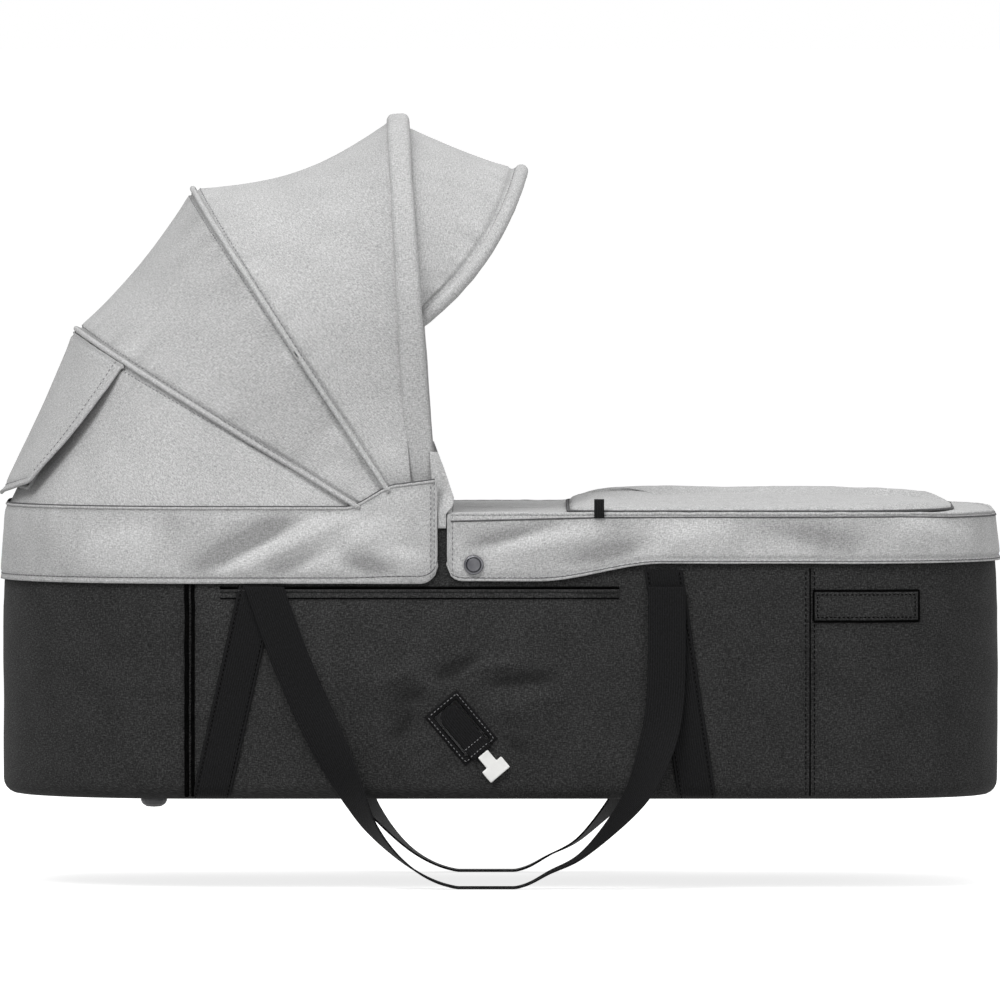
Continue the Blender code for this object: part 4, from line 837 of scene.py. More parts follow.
def body_relief(points):
    """How far the cover stands off its wall: seams, hem band, puckers at the ports and slow swells."""
    x, y, z = parts_of(points)
    wall = smooth_step((z - BASE_ROUND) / 0.02) * smooth_step((SKIRT_HEM_Z + 0.022 - z) / 0.020)
    heights = np.zeros_like(x)
    for seam_x, seed, gather in ((HEAD_SEAM_X, 3.0, 0.0024), (FOOT_SEAM_X, 7.0, 0.0010)):
        away = np.where(np.abs(y) > HALF_WIDTH * 0.6, np.abs(x - seam_x), 1.0)
        heights += seam_heights(away, z, seed, depth=0.0010, width=0.004, pucker=gather, reach=0.020,
                                pitch=0.013)
    side = np.abs(y) > HALF_WIDTH * 0.9
    band = smooth_step((x - HEM_BAND_X[0]) / 0.012) * smooth_step((HEM_BAND_X[1] - x) / 0.04)
    under = HEM_BAND_Z - z
    bulge = smooth_step(under / 0.004) * np.exp(-np.maximum(under, 0) / 0.045)
    from_port = port_distance(x, z)
    spoke = np.arctan2(z - PORT_Z, x - PORT_X) * 2.6
    fan = noise_of(spoke, from_port / 0.06, np.full_like(x, 2.0))
    puckers = (0.0042 * np.maximum(fan, -0.4) * np.exp(-from_port / 0.034)
               * smooth_step((from_port - 0.004) / 0.010))
    for part in (0.0022 * band * bulge, puckers, fold_heights(x, z, PORT_FOLDS)):
        heights += np.where(side, part, 0)
    soft = soft_heights(points, 1.0, 0.085, 0.0012) + soft_heights(points, 5.0, 0.030, 0.0005)
    fade = wall * np.where(side, smooth_step((from_port - 0.001) / 0.012), 1)
    return heights * fade, soft * fade


def wall_line(sign, places, lift):
    """Points lift proud of the dressed cover at (x, z) places on one side."""
    points = np.array([(x, sign * wall_y(x, z, 0), z) for x, z in places])
    step = 0.001
    slope = np.array([wall_y(x + step, z, 0) - wall_y(x - step, z, 0) for x, z in places]) / (2 * step)
    points[:, 1] += sign * (sum(body_relief(points)) + lift) * np.sqrt(1 + np.minimum(slope ** 2, 4))
    return points


def make_body():
    """The charcoal cover of the tub, with its seams, its hem band and its two ports."""
    rings = [outline(-inset, 0) for inset in (BASE_FOLD_IN, 0.060, 0.030)]
    rings += [outline(-BASE_ROUND * (1 - math.sin(turn)), BASE_ROUND * (1 - math.cos(turn)))
              for turn in quarter(6)]
    wall_rows = np.linspace(BASE_ROUND, WALL_HEIGHT - TOP_ROUND, 84)[1:]
    rings += [outline(-float(lean_in(z)), z) for z in wall_rows]
    rings += [outline(-WALL_LEAN - TOP_ROUND * (1 - math.cos(turn)),
                      WALL_HEIGHT - TOP_ROUND + TOP_ROUND * math.sin(turn)) for turn in quarter(4)[1:]]
    rings.append(outline(-0.016, WALL_HEIGHT - 0.0002))
    cover = Surface(rings, (0, 0, WALL_HEIGHT / 2), closed=True)
    creased, soft = body_relief(cover.points)
    # The cover sinks no more than COVER_SINK, but its colour keeps the full crease depth as painted shade
    cover.push(creased, soft + np.maximum(creased, -COVER_SINK) - creased)
    item = surface_item("body_cover", cover, "charcoal_melange", cap=True)
    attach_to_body(item, "cot_body")
    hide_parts("outer_shell")
    thicken(item, COVER_CLOTH)
    cut_ports(item)
    dress_body_seams()


def cut_ports(item):
    """Cut the two ports through the cover with one bar."""
    bpy.ops.mesh.primitive_cube_add(size=1, location=(PORT_X, 0, PORT_Z))
    bar = bpy.context.object
    bar.name = "port_bar"
    bar.scale = (PORT_LENGTH - 2 * PORT_BAND, 2 * HALF_WIDTH + 0.04, PORT_WIDTH - 2 * PORT_BAND)
    bar.rotation_euler = (0, math.radians(PORT_TURN_DEG), 0)
    cut = item.modifiers.new("ports", "BOOLEAN")
    cut.object = bar
    cut.solver = "EXACT"
    bpy.context.view_layer.update()
    graph = bpy.context.evaluated_depsgraph_get()
    mesh = bpy.data.meshes.new_from_object(item.evaluated_get(graph))
    item.modifiers.clear()
    item.data = mesh
    bpy.data.objects.remove(bar, do_unlink=True)


def dress_body_seams():
    """The corded head seam with painted shade in its groove, the thread of the foot seam and the turned hem
    band with a painted shadow cord by its fold.
    """
    heights = np.linspace(0.003, SKIRT_HEM_Z + 0.012, 100)
    across = np.linspace(HEM_BAND_X[0] + 0.012, HEM_BAND_X[1] + 0.01, 140)
    for side, sign in SIDES:
        normals = np.tile((0, sign, 0), (len(heights), 1))

        def seam_line(xs, lift):
            return wall_line(sign, list(zip(np.broadcast_to(xs, len(heights)), heights)), lift)

        # Near-black cords: the head seam's piping, and painted shade in the groove along it
        for shift, radius, end in ((-0.0026, 0.0019, "rear"), (0.0024, 0.0015, "front")):
            wander = 0.0004 * noise_of(heights / 0.013, np.full_like(heights, shift * 900),
                                       np.ones_like(heights))
            piping(f"head_seam_cord_{side}_{end}", seam_line(HEAD_SEAM_X + shift + wander, 0.0004), radius,
                   "dark_thread_and_painted_shadow", "cot_body", sides=10)
        stitches(f"head_seam_thread_{side}", seam_line(HEAD_SEAM_X, 0.0006), normals, "cot_body",
                 finish="charcoal_melange", pitch=0.0034, length=0.0019, radius=0.0006)
        piping(f"foot_seam_cord_{side}", seam_line(FOOT_SEAM_X, 0.0000), 0.0006, "dark_thread_and_painted_shadow", "cot_body")
        for shift, end in ((-0.0034, "rear"), (0.0034, "front")):
            stitches(f"foot_seam_thread_{side}_{end}", seam_line(FOOT_SEAM_X + shift, 0.0003), normals,
                     "cot_body", finish="dark_thread_and_painted_shadow")
        # The shadow cord is painted shadow by the hem band's fold; the fold and seam cords are the band
        # itself
        for drop, radius, finish, name in ((-0.0012, 0.0010, "dark_thread_and_painted_shadow", "shadow"),
                                           (0.0014, 0.0013, "charcoal_melange", "fold"),
                                           (0.0072, 0.0005, "dark_thread_and_painted_shadow", "seam")):
            line = wall_line(sign, [(x, HEM_BAND_Z - drop) for x in across], 0.0008)
            piping(f"hem_band_{name}_{side}", line, radius, finish, "cot_body")


def port_ring(sign, inset, lift, count):
    """A closed line of points round a port, drawn in from its edge by inset."""
    corners = [port_point((PORT_LENGTH / 2 - inset) * along, (PORT_WIDTH / 2 - inset) * across,
                          sign * PORT_SEAT + sign * lift)
               for along, across in ((-1, -1), (1, -1), (1, 1), (-1, 1), (-1, -1))]
    return resample(corners, count)


def make_ports():
    """Bound edges of the ports and the webbing tongues in them."""
    profile = ((0, 0), (0.0008, 0.0014), (0.0030, 0.0017), (PORT_BAND - 0.0008, 0.0014), (PORT_BAND, 0),
               (PORT_BAND, -0.004))
    for side, sign in SIDES:
        steps = [port_ring(sign, inset, lift, 61)[:-1] for inset, lift in profile]
        edge = Surface(steps, (PORT_X, 0, PORT_Z), closed=True)
        cloth(f"port_edge_{side}", edge, "web_black", "cot_body", [f"port_frame_{side}"],
              thickness=THIN_CLOTH)
        line = port_ring(sign, 0.0022, 0.0024, 120)
        stitches(f"port_thread_{side}", line, np.tile((0, sign, 0), (len(line), 1)), "cot_body",
                 pitch=0.0034, length=0.0024)
        make_tongue(side, sign)


def make_tongue(side, sign):
    """The webbing tongue, round at its top, with a folded end that holds the clip."""
    seat = near_and_far(f"clip_tongue_{side}", sign)[0]
    half = TONGUE_WIDTH / 2
    start = PORT_BAND - PORT_LENGTH / 2
    rows = [(start + half * (1 - math.cos(turn)), half * math.sin(turn))
            for turn in np.linspace(0.05, math.pi / 2, 8)]
    rows += [(along, half) for along in np.linspace(start + half, start + TONGUE_LENGTH, 16)[1:]]
    points = []
    for along, reach in rows:
        rise = 0.0009 + 0.0006 * math.sin(math.pi * (along - start) / TONGUE_LENGTH)
        points.append([port_point(along, across, seat + sign * rise)
                       for across in np.linspace(-reach, reach, 9)])
    tongue = Surface(points, (PORT_X, 0, PORT_Z))
    small_cloth(f"tongue_{side}", tongue, "web_black", f"clip_{side}", f"clip_tongue_{side}",
                TONGUE_WEB, offset=0)
    for share in (0.80, 0.93):
        line, normals, _ = tongue.row_line(share)
        stitches(f"tongue_thread_{side}_{int(share * 100)}", line + normals * 0.0007, normals,
                 f"clip_{side}", pitch=0.003, length=0.0022)


def web_strip(name, points, holder, node, inside, offset=-1):
    """A flat woven strap with softly rounded edges."""
    strip = Surface(points, inside)
    item = surface_item(name, strip, "web_black")
    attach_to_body(item, holder)
    thicken(item, WEB_THICKNESS, offset)
    rounding = item.modifiers.new("edges", "BEVEL")
    rounding.width = WEB_THICKNESS * 0.35
    rounding.segments = 2
    rounding.limit_method = "ANGLE"
    rounding.angle_limit = math.radians(60)
    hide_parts(node)
    return strip


def make_straps():
    """Load straps sewn up the walls, with their rows of thread."""
    heights = np.concatenate([np.linspace(0.0008, BASE_ROUND, 7),
                              np.linspace(BASE_ROUND, STRAP_TOP_Z, 46)[1:]])
    for side, sign in SIDES:
        for end, (foot_x, top_x) in (("head", HEAD_STRAP_X), ("foot", FOOT_STRAP_X)):
            slope = (top_x - foot_x) / (STRAP_TOP_Z - STRAP_FOOT_Z)
            level = WEB_WIDTH / 2 * math.hypot(1, slope)
            points = []
            for z in heights:
                x = foot_x + slope * (z - STRAP_FOOT_Z)
                places = [(x + level * part, z) for part in np.linspace(-1, 1, 13)]
                points.append(wall_line(sign, places, STRAP_PROUD))
            strip = web_strip(f"strap_{end}_{side}", points, "cot_body", f"sewn_strap_{end}_{side}",
                              (foot_x, 0, 0.1))
            for share in (0.09, 0.91):
                thread(f"strap_thread_{end}_{side}_{int(share * 100)}", strip, "cot_body", column=share,
                       finish="dark_thread_and_painted_shadow", pitch=0.0038)


def make_patches():
    """The bare label patch on each side with its outline of thread."""
    columns = np.linspace(PATCH_START_X, PATCH_START_X + PATCH_LENGTH, 50)
    heights = np.linspace(PATCH_FOOT_Z, PATCH_FOOT_Z + PATCH_HEIGHT, 16)
    inset_u, inset_v = PATCH_SEAM / PATCH_LENGTH, PATCH_SEAM / PATCH_HEIGHT
    for side, sign in SIDES:
        rows = [wall_line(sign, [(x, z) for x in columns], PATCH_PROUD) for z in heights]
        patch = Surface(rows, (PATCH_START_X, 0, PATCH_FOOT_Z))
        away = np.minimum(np.minimum(*patch.edge_distance()), patch.end_distance())
        patch.push(-0.0009 * np.exp(-away / 0.0012) + soft_heights(patch.points, 9.0, 0.02, 0.0004)
                   - 0.0004 * np.exp(-((away - 0.004) / 0.0008) ** 2))
        cloth(f"patch_{side}", patch, "charcoal_melange", "cot_body", [f"label_patch_{side}"],
              thickness=THIN_CLOTH)
        # The near-black cord round the patch is painted shade under its raised edge
        edge = np.concatenate([patch.points[0], patch.points[1:, -1], patch.points[-1, -2::-1],
                               patch.points[-2::-1, 0]]) - np.array((0, sign * 0.0006, 0))
        piping(f"patch_edge_{side}", edge, 0.0012, "dark_thread_and_painted_shadow", "cot_body")
        for name, cut, place in (("low", 1, {"row": inset_v}), ("high", 1, {"row": 1 - inset_v}),
                                 ("rear", 2, {"column": inset_u}), ("front", 2, {"column": 1 - inset_u})):
            thread(f"patch_thread_{name}_{side}", patch, "cot_body", cut=(cut, cut), finish="dark_thread_and_painted_shadow",
                   pitch=0.0034, length=0.0026, radius=0.0004, **place)


# Handles


def catmull(points, share):
    """A point on a smooth open curve through points, by share of its segments."""
    spans = len(points) - 1
    place = min(max(share, 0) * spans, spans - 1e-9)
    k = int(place)
    t = place - k
    p0, p1, p2, p3 = points[max(k - 1, 0)], points[k], points[k + 1], points[min(k + 2, spans)]
    return 0.5 * ((2 * p1) + (p2 - p0) * t + (2 * p0 - 5 * p1 + 4 * p2 - p3) * t * t
                  + (3 * p1 - p0 - 3 * p2 + p3) * t ** 3)


def handle_row(sign, route, share, columns):
    """One cross line of a handle's webbing, which turns level at the bottom of its loop."""
    point = catmull(route, share)
    height = max(point[2], -HANDLE_HANG)
    along = catmull(route, min(share + 0.005, 1)) - catmull(route, max(share - 0.005, 0))
    along /= np.linalg.norm(along)
    square = np.array((-along[2], 0, along[0]))
    if square[0] < 0:
        square = -square
    level = np.array((1 / max(abs(along[2]), 0.5), 0, 0))
    mix = float(smooth_step((height - TWIST_TOP_Z / 2) / (TWIST_TOP_Z / 2)))
    flat = square * (1 - mix) + level * mix
    twist = math.pi / 2 * float(smooth_step((TWIST_TOP_Z - height) / (TWIST_TOP_Z + HANDLE_HANG)))
    outward = WEB_WIDTH / 2 * math.sin(twist)
    outward *= float(smooth_step((height - HANDLE_CLEAR_Z * 2) / -HANDLE_CLEAR_Z))
    outward -= HANDLE_TUCK * float(smooth_step(-height / HANDLE_HANG))
    spread = flat * math.cos(twist) + np.array((0, sign, 0)) * math.sin(twist)
    middle = np.array((point[0], sign * (HANDLE_Y + outward), height))
    return [middle + spread * WEB_WIDTH / 2 * part for part in columns]


def make_handles():
    """Each handle is one length of webbing from anchor to anchor."""
    route = np.array([(x, 0, HANDLE_HINGE_Z - share * (HANDLE_HINGE_Z + HANDLE_HANG))
                      for x, share in zip(HANDLE_ROUTE_X, HANDLE_DROP_SHARES)])
    columns = np.linspace(-1, 1, 11)
    for side, sign in SIDES:
        rows = [handle_row(sign, route, share, columns) for share in np.linspace(0, 1, 190)]
        web_strip(f"handle_strap_{side}", rows, f"handle_{side}", f"handle_webbing_{side}", (0, 0, 0.1),
                  offset=0)


def make_anchors():
    """A folded, box-stitched end of webbing behind the top of each handle leg."""
    half = ANCHOR_WIDTH / 2
    for side, sign in SIDES:
        for end in ("head", "foot"):
            node = f"handle_anchor_{end}_{side}"
            low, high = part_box(node)
            inner, outer = near_and_far(node, sign)
            middle_x, middle_z = ((low[k] + high[k]) / 2 for k in (0, 2))
            middle_y = (inner + outer) / 2
            rows = []
            for turn in np.linspace(-math.pi / 2, math.pi * 1.5, 25):
                y = middle_y + sign * abs(outer - inner) / 2 * math.cos(turn)
                z = middle_z + (high[2] - low[2]) / 2 * math.sin(turn)
                rows.append([(middle_x + half * part, y, z) for part in np.linspace(-1, 1, 9)])
            roll = Surface(rows, (middle_x, middle_y, middle_z))
            small_cloth(f"anchor_{end}_{side}", roll, "web_black", "cot_body", node, ANCHOR_WEB)
            span = np.linspace(middle_x - half + 0.002, middle_x + half - 0.002, 20)
            line = np.array([(x, outer, middle_z - 0.0005) for x in span])
            stitches(f"anchor_thread_{end}_{side}", line, np.tile((0, sign, 0), (len(line), 1)),
                     "cot_body", finish="dark_thread_and_painted_shadow", pitch=0.003, length=0.0022)


# Canopy


def arch_line(half_width, leg_end, rise, steps):
    """(y, reach) over an arch from its near leg to its far leg."""
    turns = np.linspace(-math.pi / 2, math.pi / 2, 2 * steps + 1)
    return [(half_width * math.sin(turn), leg_end + rise * math.cos(turn)) for turn in turns]


def mirrored(legs, arch):
    """A near leg's (y, reach) points, an arch, and the same leg on the far side."""
    return legs + arch + [(-y, reach) for y, reach in reversed(legs)]


class Bow:
    """One bow: its lean back from upright, the radius of its crown and its layer at the rivet."""

    def __init__(self, lean_deg, radius, layer):
        lean = math.radians(lean_deg)
        self.reach = np.array((-math.sin(lean), 0, math.cos(lean)))
        self.across = np.array((math.cos(lean), 0, math.sin(lean)))
        self.radius = radius
        self.half_width = BOW_OUTER_HALF_WIDTH - layer * BOW_PITCH
        self.leg_end = radius - BOW_ARCH_RISE

    def point(self, y, reach, across=0):
        """A point at a reach from the pivot, moved across the bow's own plane."""
        return PIVOT + self.reach * reach + self.across * across + np.array((0, y, 0))

    def arch(self, offset, steps=48):
        """(y, reach) over the crown of the bow, offset outward."""
        return arch_line(self.half_width + offset, self.leg_end, BOW_ARCH_RISE + offset, steps)


FRONT_BOW = Bow(3.7, 0.336, 0)
MID_BOW = Bow(33.5, 0.3339, 1)
REAR_BOW = Bow(58.7, 0.3219, 2)
CANOPY_CENTRE = np.array((PIVOT[0], 0, PIVOT[2] + BOW_ARCH_RISE / 2))


def skirt_top(x):
    """Height of the skirt's top seam, which rises over the hubs."""
    rise = smooth_step((x - SKIRT_RISE_X) / (SKIRT_SHOULDER_X - SKIRT_RISE_X))
    share = (x - SKIRT_SHOULDER_X) / (SKIRT_FRONT_X - SKIRT_SHOULDER_X)
    return np.where(x <= SKIRT_SHOULDER_X, between(SKIRT_TOP_Z, SKIRT_SHOULDER_Z, rise),
                    between(SKIRT_SHOULDER_Z, SKIRT_FRONT_Z, share))


def bow_edge(bow, offset, shift, columns=221, tuck=0.004, spread=1.0):
    """The line of the fabric along one bow, flared out and tucked behind the skirt at its ends."""
    reach = bow.leg_end / 2
    for _ in range(40):
        x = bow.point(0, reach, shift)[0]
        seam = max(float(skirt_top(min(x, SKIRT_FRONT_X))), SKIRT_TOP_Z) - tuck
        reach = (seam - PIVOT[2] - bow.across[2] * shift) / bow.reach[2]
    flare = (HALF_WIDTH - WALL_LEAN - 0.0002 - bow.half_width - offset) * spread
    legs = []
    for share in np.linspace(0, 1, 24, endpoint=False):
        spot = between(reach, bow.leg_end, share)
        out = 1 - float(smooth_step((spot - reach) / PANEL_FLARE_HEIGHT))
        legs.append((-(bow.half_width + offset + flare * out), spot))
    path = mirrored(legs, bow.arch(offset))
    return resample([bow.point(y, spot, shift) for y, spot in path], columns)


def row_shares(steps):
    """Shares from 0 to 1 that lie close together at both ends, where the seams are."""
    return (1 - np.cos(np.linspace(0, math.pi, steps + 1))) / 2


def span_rows(edge_a, edge_b, sag, steps):
    """Rows of fabric from edge_a to edge_b, drawn in towards the middle between them."""
    share = row_shares(steps)[:, None, None]
    chord = edge_a[None] * (1 - share) + edge_b[None] * share
    inward = CANOPY_CENTRE - chord
    inward /= np.linalg.norm(inward, axis=2, keepdims=True)
    pull = np.sin(np.linspace(0, math.pi, len(edge_a))) ** 2
    return chord + inward * (sag * 4 * share * (1 - share) * pull[None, :, None])


def dress_panel(panel, seed, last=True):
    """Seam grooves, puckers and soft swells of a canopy panel."""
    start, stop = panel.edge_distance()
    heights = np.zeros_like(start)
    for away, shift in ((start, 0.3), (stop, 1.7))[:2 if last else 1]:
        heights += seam_heights(away - 0.0035, panel.across, seed + shift, 0.0016, 0.0016, 0.0011, 0.018,
                                0.013)
    ends = panel.end_distance()
    crease = noise_of(start / 0.016, ends / 0.09, np.full_like(start, seed + 4))
    heights += 0.0018 * crease * np.exp(-ends / 0.035)
    panel.push(heights, 0.0010 + soft_heights(panel.points, seed, 0.110, 0.0013))


def make_canopy():
    """The front and middle panels with the piping and thread of their seams, then the rear panel."""
    lift = BOW_THICKNESS / 2 + BOW_TENT
    front = bow_edge(FRONT_BOW, -BOW_THICKNESS / 2 + 0.002, -SLEEVE_HALF_WIDTHS[1] - 0.0003, spread=0.35)
    mid = bow_edge(MID_BOW, lift, 0)
    rear = bow_edge(REAR_BOW, lift, 0)
    panels = {}
    for name, edges, sag, steps, seed, last, bows in (
            ("front", (mid, front), 0.013, 44, 11.0, False, ("front", "mid")),
            ("middle", (rear, mid), 0.006, 40, 17.0, True, ("mid", "rear"))):
        panel = Surface(span_rows(*edges, sag, steps), CANOPY_CENTRE, weights=row_shares(steps)[:, None])
        dress_panel(panel, seed, last)
        cloth(f"canopy_{name}", panel, "grey_melange", PANEL_HOLDERS[name], [f"canopy_{name}_panel"])
        panels[name] = panel
    for name, panel, row, raised, radius, finish, sides in (
            ("mid_bow_piping", "front", 0, 0.0004, 0.0021, "grey_melange", 10),
            ("mid_bow_shadow", "middle", 1, -0.0002, 0.0012, "painted_shadow_grey", 8),
            ("rear_bow_piping", "middle", 0, 0.0010, 0.0020, "grey_melange", 10)):
        seam_cord(name, panels[panel], row, raised, radius, finish, PANEL_HOLDERS[panel], sides=sides)
    for name, share in (("front", 0.115), ("middle", 0.12), ("middle", 0.88)):
        thread(f"canopy_thread_{name}_{int(share * 1000)}", panels[name], PANEL_HOLDERS[name], row=share)
    return make_rear_panel(rear)


def make_rear_panel(rear):
    """The rear panel with its bound window and the net in it."""
    rim = end_path(-1, RIM_CLEAR - 0.0005, rear[0][0] - SEAM)
    rim[:, 2] = skirt_top(rim[:, 0]) - 0.003
    panel = Surface(span_rows(rear, resample(rim, len(rear)), 0.004, 48), CANOPY_CENTRE)
    dress_panel(panel, 23.0, last=False)
    points = panel.points
    low, high = round(len(points) / 8), round(len(points) * 6 / 8)
    covered = np.flatnonzero(np.abs(points[high, :, 1]) < VENT_FOOT_HALF - 0.014)
    left, right = int(covered[0]), int(covered[-1])
    cloth("canopy_rear", panel, "grey_melange", "cot_body", ["canopy_rear_panel"],
          skip=lambda i, j: low <= i < high and left <= j < right)
    seam_cord("rear_bow_shadow", panel, 0.0, -0.0002, 0.0014, "painted_shadow_grey", "cot_body")
    thread("canopy_thread_rear", panel, "cot_body", row=0.14)
    border = np.concatenate([points[low, left:right], points[low:high, right], points[high, right:left:-1],
                             points[high:low:-1, left]])
    piping("vent_binding", ring_closed(border), 0.0022, "grey_melange", "cot_body")
    net = Surface(resample_grid(points[low:high + 1, left:right + 1], 56, 96), CANOPY_CENTRE)
    net.push(np.full(net.points.shape[:2], -0.0008))
    item = surface_item("vent_mesh", net, "net_black")
    wires = item.modifiers.new("threads", "WIREFRAME")
    wires.thickness = NET_WIRE
    wires.use_replace = True
    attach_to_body(item, "cot_body")
    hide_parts("vent_net")
    return panel


def make_vent_flap(panel):
    """The stiff flap over the vent, with a bound edge that stands off at its hem."""
    rows = []
    for share in np.linspace(0, 1, 45):
        row = []
        for part in np.linspace(-1, 1, 61):
            drop = 0.006 + share * (0.950 - 0.085 * part * part)
            line = panel.row_line(math.acos(1 - 2 * drop) / math.pi)[0]
            y = part * (between(VENT_TOP_HALF, VENT_FOOT_HALF, drop) + 0.008 * math.sin(math.pi * drop))
            row.append([np.interp(y, line[:, 1], line[:, k]) for k in range(3)])
        rows.append(row)
    flap = Surface(rows, PIVOT)
    start, stop = flap.edge_distance()
    reach = start / (start + stop)
    curl = 0.0026 * np.linspace(-1, 1, start.shape[1])[None, :] ** 6 * smooth_step(reach * 3)
    flap.push(np.zeros_like(start), 0.0032 + 0.0060 * smooth_step(reach * 1.6) + curl
              + 0.0010 * np.sin(reach * 9.0) * reach)
    hem = np.minimum(flap.end_distance(), stop)
    flap.push(seam_heights(hem - 0.007, flap.down, 33.0, 0.0009, 0.0015, 0.0006),
              soft_heights(flap.points, 31.0, 0.05, 0.0010))
    cloth("vent_cover", flap, "grey_melange", "vent_flap", ["vent_flap"], thickness=FLAP_CLOTH)
    edge = np.concatenate([flap.points[:, 0], flap.points[-1, 1:], flap.points[-2::-1, -1]])
    piping("vent_cover_binding", edge, 0.0015, "grey_melange", "vent_flap")
    for name, cut, place in (("hem", (3, 3), {"row": 0.955}), ("right", (0, 3), {"column": 0.03}),
                             ("left", (0, 3), {"column": 0.97})):
        thread(f"vent_cover_thread_{name}", flap, "vent_flap", cut=cut, **place)


def make_sleeve():
    """The padded tunnel of fabric round the front bow."""
    bow = FRONT_BOW
    legs = [(-bow.half_width, reach)
            for reach in np.linspace(SLEEVE_FOOT_RADIUS - 0.006, bow.leg_end, 30)[:-1]]
    path = mirrored(legs, bow.arch(0, 52))
    inner = BOW_THICKNESS / 2 + 0.0003 + 0.001
    section = [(math.cos(t), 0.5 + 0.5 * math.sin(t))
               for t in np.linspace(-math.pi / 2, math.pi * 1.5, 25)[:-1]]
    rows = []
    for k, (y, reach) in enumerate(path):
        along = np.subtract(path[min(k + 1, len(path) - 1)], path[max(k - 1, 0)])
        along /= np.linalg.norm(along)
        rise = float(smooth_step((reach - SLEEVE_FOOT_RADIUS) / (bow.radius - SLEEVE_FOOT_RADIUS)))
        half = between(*SLEEVE_HALF_WIDTHS, rise)
        lift = float(smooth_step((reach - SLEEVE_FOOT_RADIUS) / SLEEVE_RISE_LENGTH))
        proud = between(*SLEEVE_PROUD, lift)
        row = []
        for side, up in section:
            full = abs(side) ** 0.45 * (1 if side > 0 else -1)
            height = -inner + (proud + inner) * up
            row.append(bow.point(y - along[1] * height, reach + along[0] * height, half * full))
        rows.append(row)
    sleeve = Surface(rows, CANOPY_CENTRE, closed=True)
    outward = sleeve.points - sleeve.points.mean(axis=1, keepdims=True)
    outward /= np.maximum(np.linalg.norm(outward, axis=2, keepdims=True), 1e-9)
    if (sleeve.normals * outward).sum() < 0:
        sleeve.normals = -sleeve.normals
        sleeve.flip = not sleeve.flip
    soft = soft_heights(sleeve.points, 41.0, 0.03, 0.0005)
    sleeve.points = sleeve.points + sleeve.normals * soft[..., None]
    small_cloth("bow_sleeve", sleeve, "grey_melange", "front_bow", "front_sleeve", THIN_CLOTH)
    for column, name in ((4, "front"), (20, "rear")):
        stitches(f"sleeve_thread_{name}", sleeve.points[:, column], sleeve.normals[:, column], "front_bow")


def visor_point(y, share, drop=0):
    """A point on the visor's hoop at a share of its reach, moved back by drop."""
    lean = math.radians(VISOR_LEAN_DEG)
    reach = np.array((math.sin(lean), 0, math.cos(lean)))
    ahead = np.array((math.cos(lean), 0, -math.sin(lean)))
    bulge = VISOR_BULGE * 4 * share * (1 - share)
    axis = FRONT_BOW.point(0, VISOR_AXIS_RADIUS)
    return axis + reach * VISOR_REACH * share + ahead * (bulge - drop) + np.array((0, y, 0))


def visor_shape():
    """(y, share of reach) along the hoop from its near end to its far end."""
    leg = VISOR_REACH - VISOR_ARCH_RISE
    legs = [(-VISOR_HALF_WIDTH, leg * k / 2) for k in range(2)]
    path = mirrored(legs, arch_line(VISOR_HALF_WIDTH, leg, VISOR_ARCH_RISE, 48))
    return [(y, reach / VISOR_REACH) for y, reach in path]


def make_visor():
    """The visor's fabric and the bound rim on its hoop."""
    start = VISOR_AXIS_RADIUS + VISOR_START
    arch = mirrored([(-FRONT_BOW.half_width, start)], FRONT_BOW.arch(-BOW_THICKNESS))
    ahead = FRONT_BOW.across * (SLEEVE_HALF_WIDTHS[1] - 0.001)
    bow_line = resample([FRONT_BOW.point(y, max(reach, start)) + ahead for y, reach in arch],
                        VISOR_COLUMNS)
    rim_line = resample([visor_point(y, share, VISOR_RIM_RADIUS - 0.001) for y, share in visor_shape()
                         if share * VISOR_REACH > VISOR_START], VISOR_COLUMNS)
    share = row_shares(34)[:, None, None]
    rows = bow_line[None] * (1 - share) + rim_line[None] * share
    panel = Surface(rows, FRONT_BOW.point(0, FRONT_BOW.leg_end), weights=row_shares(34)[:, None])
    first, last = panel.edge_distance()
    bow_out = 0.004 * 4 * share[..., 0] * (1 - share[..., 0])
    panel.push(seam_heights(first, panel.across, 51.0, pucker=0.0008)
               + seam_heights(last - 0.004, panel.across, 53.0, 0.0016, 0.0016, 0.0014),
               soft_heights(panel.points, 55.0, 0.08, 0.0012) - bow_out * 0.5)
    holder = ("front_bow", "visor")
    cloth("visor_fabric", panel, "grey_melange", holder, ["visor_panel"])
    thread("visor_thread", panel, holder, row=0.93)
    rim = resample([visor_point(y, share) for y, share in visor_shape()], 190)
    ripples = 1 + 0.05 * noise_of(along_line(rim) / 0.010, np.zeros(len(rim)), np.full(len(rim), 4.0))
    piping("visor_binding", rim, VISOR_RIM_RADIUS * ripples, "grey_melange", "visor", nodes=["visor_rim"],
           sides=16)


def make_gussets():
    """Small fabric corners between the foot of the front sleeve and the rim."""
    for side, sign in SIDES:
        inset = 0.0040 if sign > 0 else 0
        corners = [[(start + (stop - inset * (rise > 0) - start) * part, offset, WALL_HEIGHT + rise)
                    for part in (0, 0.5, 1)] for rise, start, stop, offset in GUSSET_PROFILE]
        points = resample_grid(np.array(corners), 30, 12)
        points[..., 1] = sign * (HALF_WIDTH - WALL_LEAN + points[..., 1] + 0.0012)
        gusset = Surface(points, (-0.05, 0, 0.2))
        fold = noise_of(points[..., 0] / 0.009, points[..., 2] / 0.02, np.full(points.shape[:2], 6.0))
        gusset.push(0.0012 * fold)
        item = small_cloth(f"gusset_{side}", gusset, "grey_melange", "cot_body", f"canopy_gusset_{side}")
        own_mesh(item)


def rounded_hem(hem, corner, front):
    """The height of a hem that turns up in a round corner at its front edge."""
    near = np.maximum(corner - front, 0)
    return hem + corner - np.sqrt(np.maximum(corner ** 2 - near ** 2, 0))


